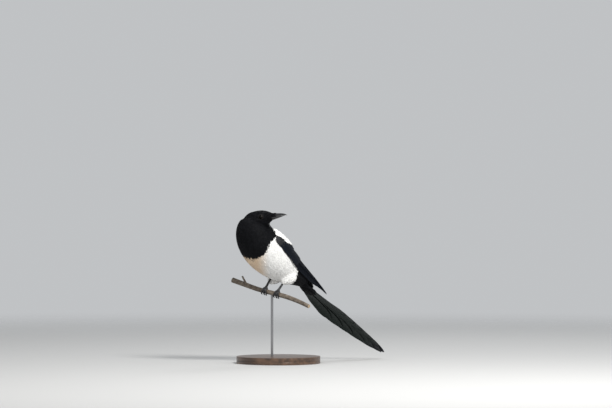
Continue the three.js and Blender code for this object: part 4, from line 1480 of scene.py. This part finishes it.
def buildBase(material):  # the turned foot of the stand
    low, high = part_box("stand_base")
    radius, depth = (high.x - low.x) / 2, high.z - low.z
    width, wall = standForm["grooveWidth"], standForm["grooveWall"]
    cylinder = bpy.ops.mesh.primitive_cylinder_add
    base = basicShape("base", cylinder, vertices=standForm["sides"], radius=radius, depth=depth)
    bpy.ops.object.mode_set(mode="EDIT")
    for share in (0.0, wall, width - wall, width):
        bpy.ops.mesh.select_all(action="SELECT")
        level = depth * (standForm["grooveAt"] + share - 0.5)
        bpy.ops.mesh.bisect(plane_co=(0, 0, level), plane_no=(0, 0, 1))
    bpy.ops.object.mode_set(mode="OBJECT")
    for vertex in base.data.vertices:
        share = vertex.co.z / depth + 0.5 - standForm["grooveAt"]
        if 0.75 * wall < share < width - 0.75 * wall:
            vertex.co.xy *= 1 - standForm["groove"] / radius
    base.data.transform(Matrix.Translation((low + high) / 2))
    modify(
        base, "BEVEL", width=standForm["round"], segments=standForm["steps"],
        limit_method="ANGLE", angle_limit=math.radians(60),
    )
    applyAll(base)
    bpy.ops.object.shade_smooth_by_angle(angle=math.radians(40))
    settle(base, "turned_wood", material, "stand_base")


def cutEnds(branch, material):  # the sawn ends of the branch are pale
    branch.data.materials.append(material)
    for face in branch.data.polygons:
        outward = face.normal.x * math.copysign(1, face.center.x)
        if abs(face.center.x) > standForm["cutFrom"] and outward > standForm["cutFacing"]:
            face.material_index = 1


# Build
print("skin")
coatShape = buildSkin()
surface = Surface(coatShape)
print("skin faces", len(coatShape.data.polygons))
modify(coatShape, "DISPLACE", mid_level=0.0, strength=-skinForm["coatDepth"])
modify(coatShape, "SMOOTH", factor=0.5, iterations=skinForm["settling"])
applyAll(coatShape)
coatShape.data.shade_smooth()
settle(coatShape, "body_feathers", skinFinish(), "head", "neck", "torso", "thigh_left", "thigh_right")

print("coat")
buildCoat(surface)
print("wings and tail")
buildWing(1, "left", 41)
buildWing(-1, "right", 43)
buildScapulars(1, "left", 45)
buildScapulars(-1, "right", 47)
buildTail()

print("bill, eyes and feet")
horn, nail, leg = hornFinish(), clawFinish(), legFinish()
billTop = roundedCopy("bill_top", "bill_upper", "bill", horn)
buildBristles(billTop, surface)
roundedCopy("bill_under", "bill_lower", "bill", horn)
buildEyes(eyeFinish(), lidFinish())
for label in ("left", "right"):
    softCopy(f"leg_{label}", f"tarsus_{label}", 0.00034, 5, "leg", leg, f"foot_{label}")
    for toe in ("inner", "middle", "outer", "hind"):
        softCopy(f"nail_{toe}_{label}", f"claw_{toe}_{label}", 0.00016, 3, "claw", nail)

print("perch and stand")
branch = softCopy("branch", "perch", 0.0006, 6, "bark", barkFinish())
cutEnds(branch, cutFinish())
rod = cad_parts["stand_rod"]
rod.data.materials.clear()
rod.data.materials.append(steelFinish())
buildBase(woodFinish())

# Floor, light and camera
room = {
    "floor": (0.55, 0.55, 0.545),
    "reach": 3.2,
    "sides": 96,
    "fadeFrom": 1.1,
    "fadeTo": 3.0,
    "backdrop": (0.80, 0.82, 0.84),
    "sky": 0.66,
}


def buildFloor():  # a pale round floor that fades into the backdrop
    paint = Paint("floorFinish")
    x, y, _ = paint.parts()
    away = (x * x + y * y).maths("SQRT")
    fade = 1 - away.above(room["fadeFrom"], room["fadeTo"])
    finish = paint.finish(Base_Color=room["floor"], Roughness=0.9, Alpha=fade)
    circle = bpy.ops.mesh.primitive_circle_add
    floor = basicShape("floor", circle, vertices=room["sides"], radius=room["reach"], fill_type="TRIFAN")
    floor.data.materials.append(finish)


photoView = {
    "azimuth": 45.0,
    "aimRight": 0.068,  # the middle of the picture, right of the feet and above the perch
    "aimUp": 0.173,
    "distance": 6.0,
    "pixel": 0.002,  # metres across one pixel of the photograph, at the bird
    "width": 612,
    "sensor": 36.0,
}


def buildCamera():
    azimuth = math.radians(photoView["azimuth"])
    right = Vector((math.cos(azimuth), math.sin(azimuth), 0))
    back = Vector((math.sin(azimuth), -math.cos(azimuth), 0))
    feet = Vector(toRow((0, 0, 0)))
    target = feet + right * photoView["aimRight"] + Vector((0, 0, photoView["aimUp"]))
    camera = bpy.data.objects.new("camera", bpy.data.cameras.new("camera"))
    bpy.context.scene.collection.objects.link(camera)
    camera.location = target + back * photoView["distance"]
    camera.rotation_euler = (math.radians(90), 0, azimuth)
    camera.data.sensor_width = photoView["sensor"]
    across = photoView["width"] * photoView["pixel"]
    camera.data.lens = photoView["sensor"] * photoView["distance"] / across
    camera.data.clip_end = 50.0
    bpy.context.scene.camera = camera


lamps = {  # azimuth, elevation, distance, size, watts and colour
    "key": (76, 38, 1.9, 0.5, 36, (1.0, 0.985, 0.96)),
    "fill": (5, 22, 2.2, 1.0, 4, (1.0, 0.97, 0.93)),
    "rim": (200, 42, 1.9, 0.6, 5, (0.96, 0.98, 1.0)),
    "top": (60, 82, 1.8, 0.6, 2, (1.0, 1.0, 1.0)),
}


def buildLights():
    middle = Vector(toRow((0, 0, 90)))
    for name, (azimuth, elevation, distance, size, watts, colour) in lamps.items():
        light = bpy.data.lights.new(name, "AREA")
        light.shape, light.size, light.energy, light.color = "DISK", size, watts, colour
        lamp = bpy.data.objects.new(name, light)
        bpy.context.scene.collection.objects.link(lamp)
        a, e = math.radians(azimuth), math.radians(elevation)
        away = Vector((math.sin(a) * math.cos(e), -math.cos(a) * math.cos(e), math.sin(e)))
        lamp.location = middle + away * distance
        lamp.rotation_euler = away.to_track_quat("Z", "Y").to_euler()
    world = bpy.data.worlds.new("world")
    world.use_nodes = True
    world.node_tree.nodes["Background"].inputs[0].default_value = (*room["backdrop"], 1)
    world.node_tree.nodes["Background"].inputs[1].default_value = room["sky"]
    bpy.context.scene.world = world
    bpy.context.scene.view_settings.view_transform = "Standard"


print("floor, light and camera")
buildFloor()
buildLights()
buildCamera()
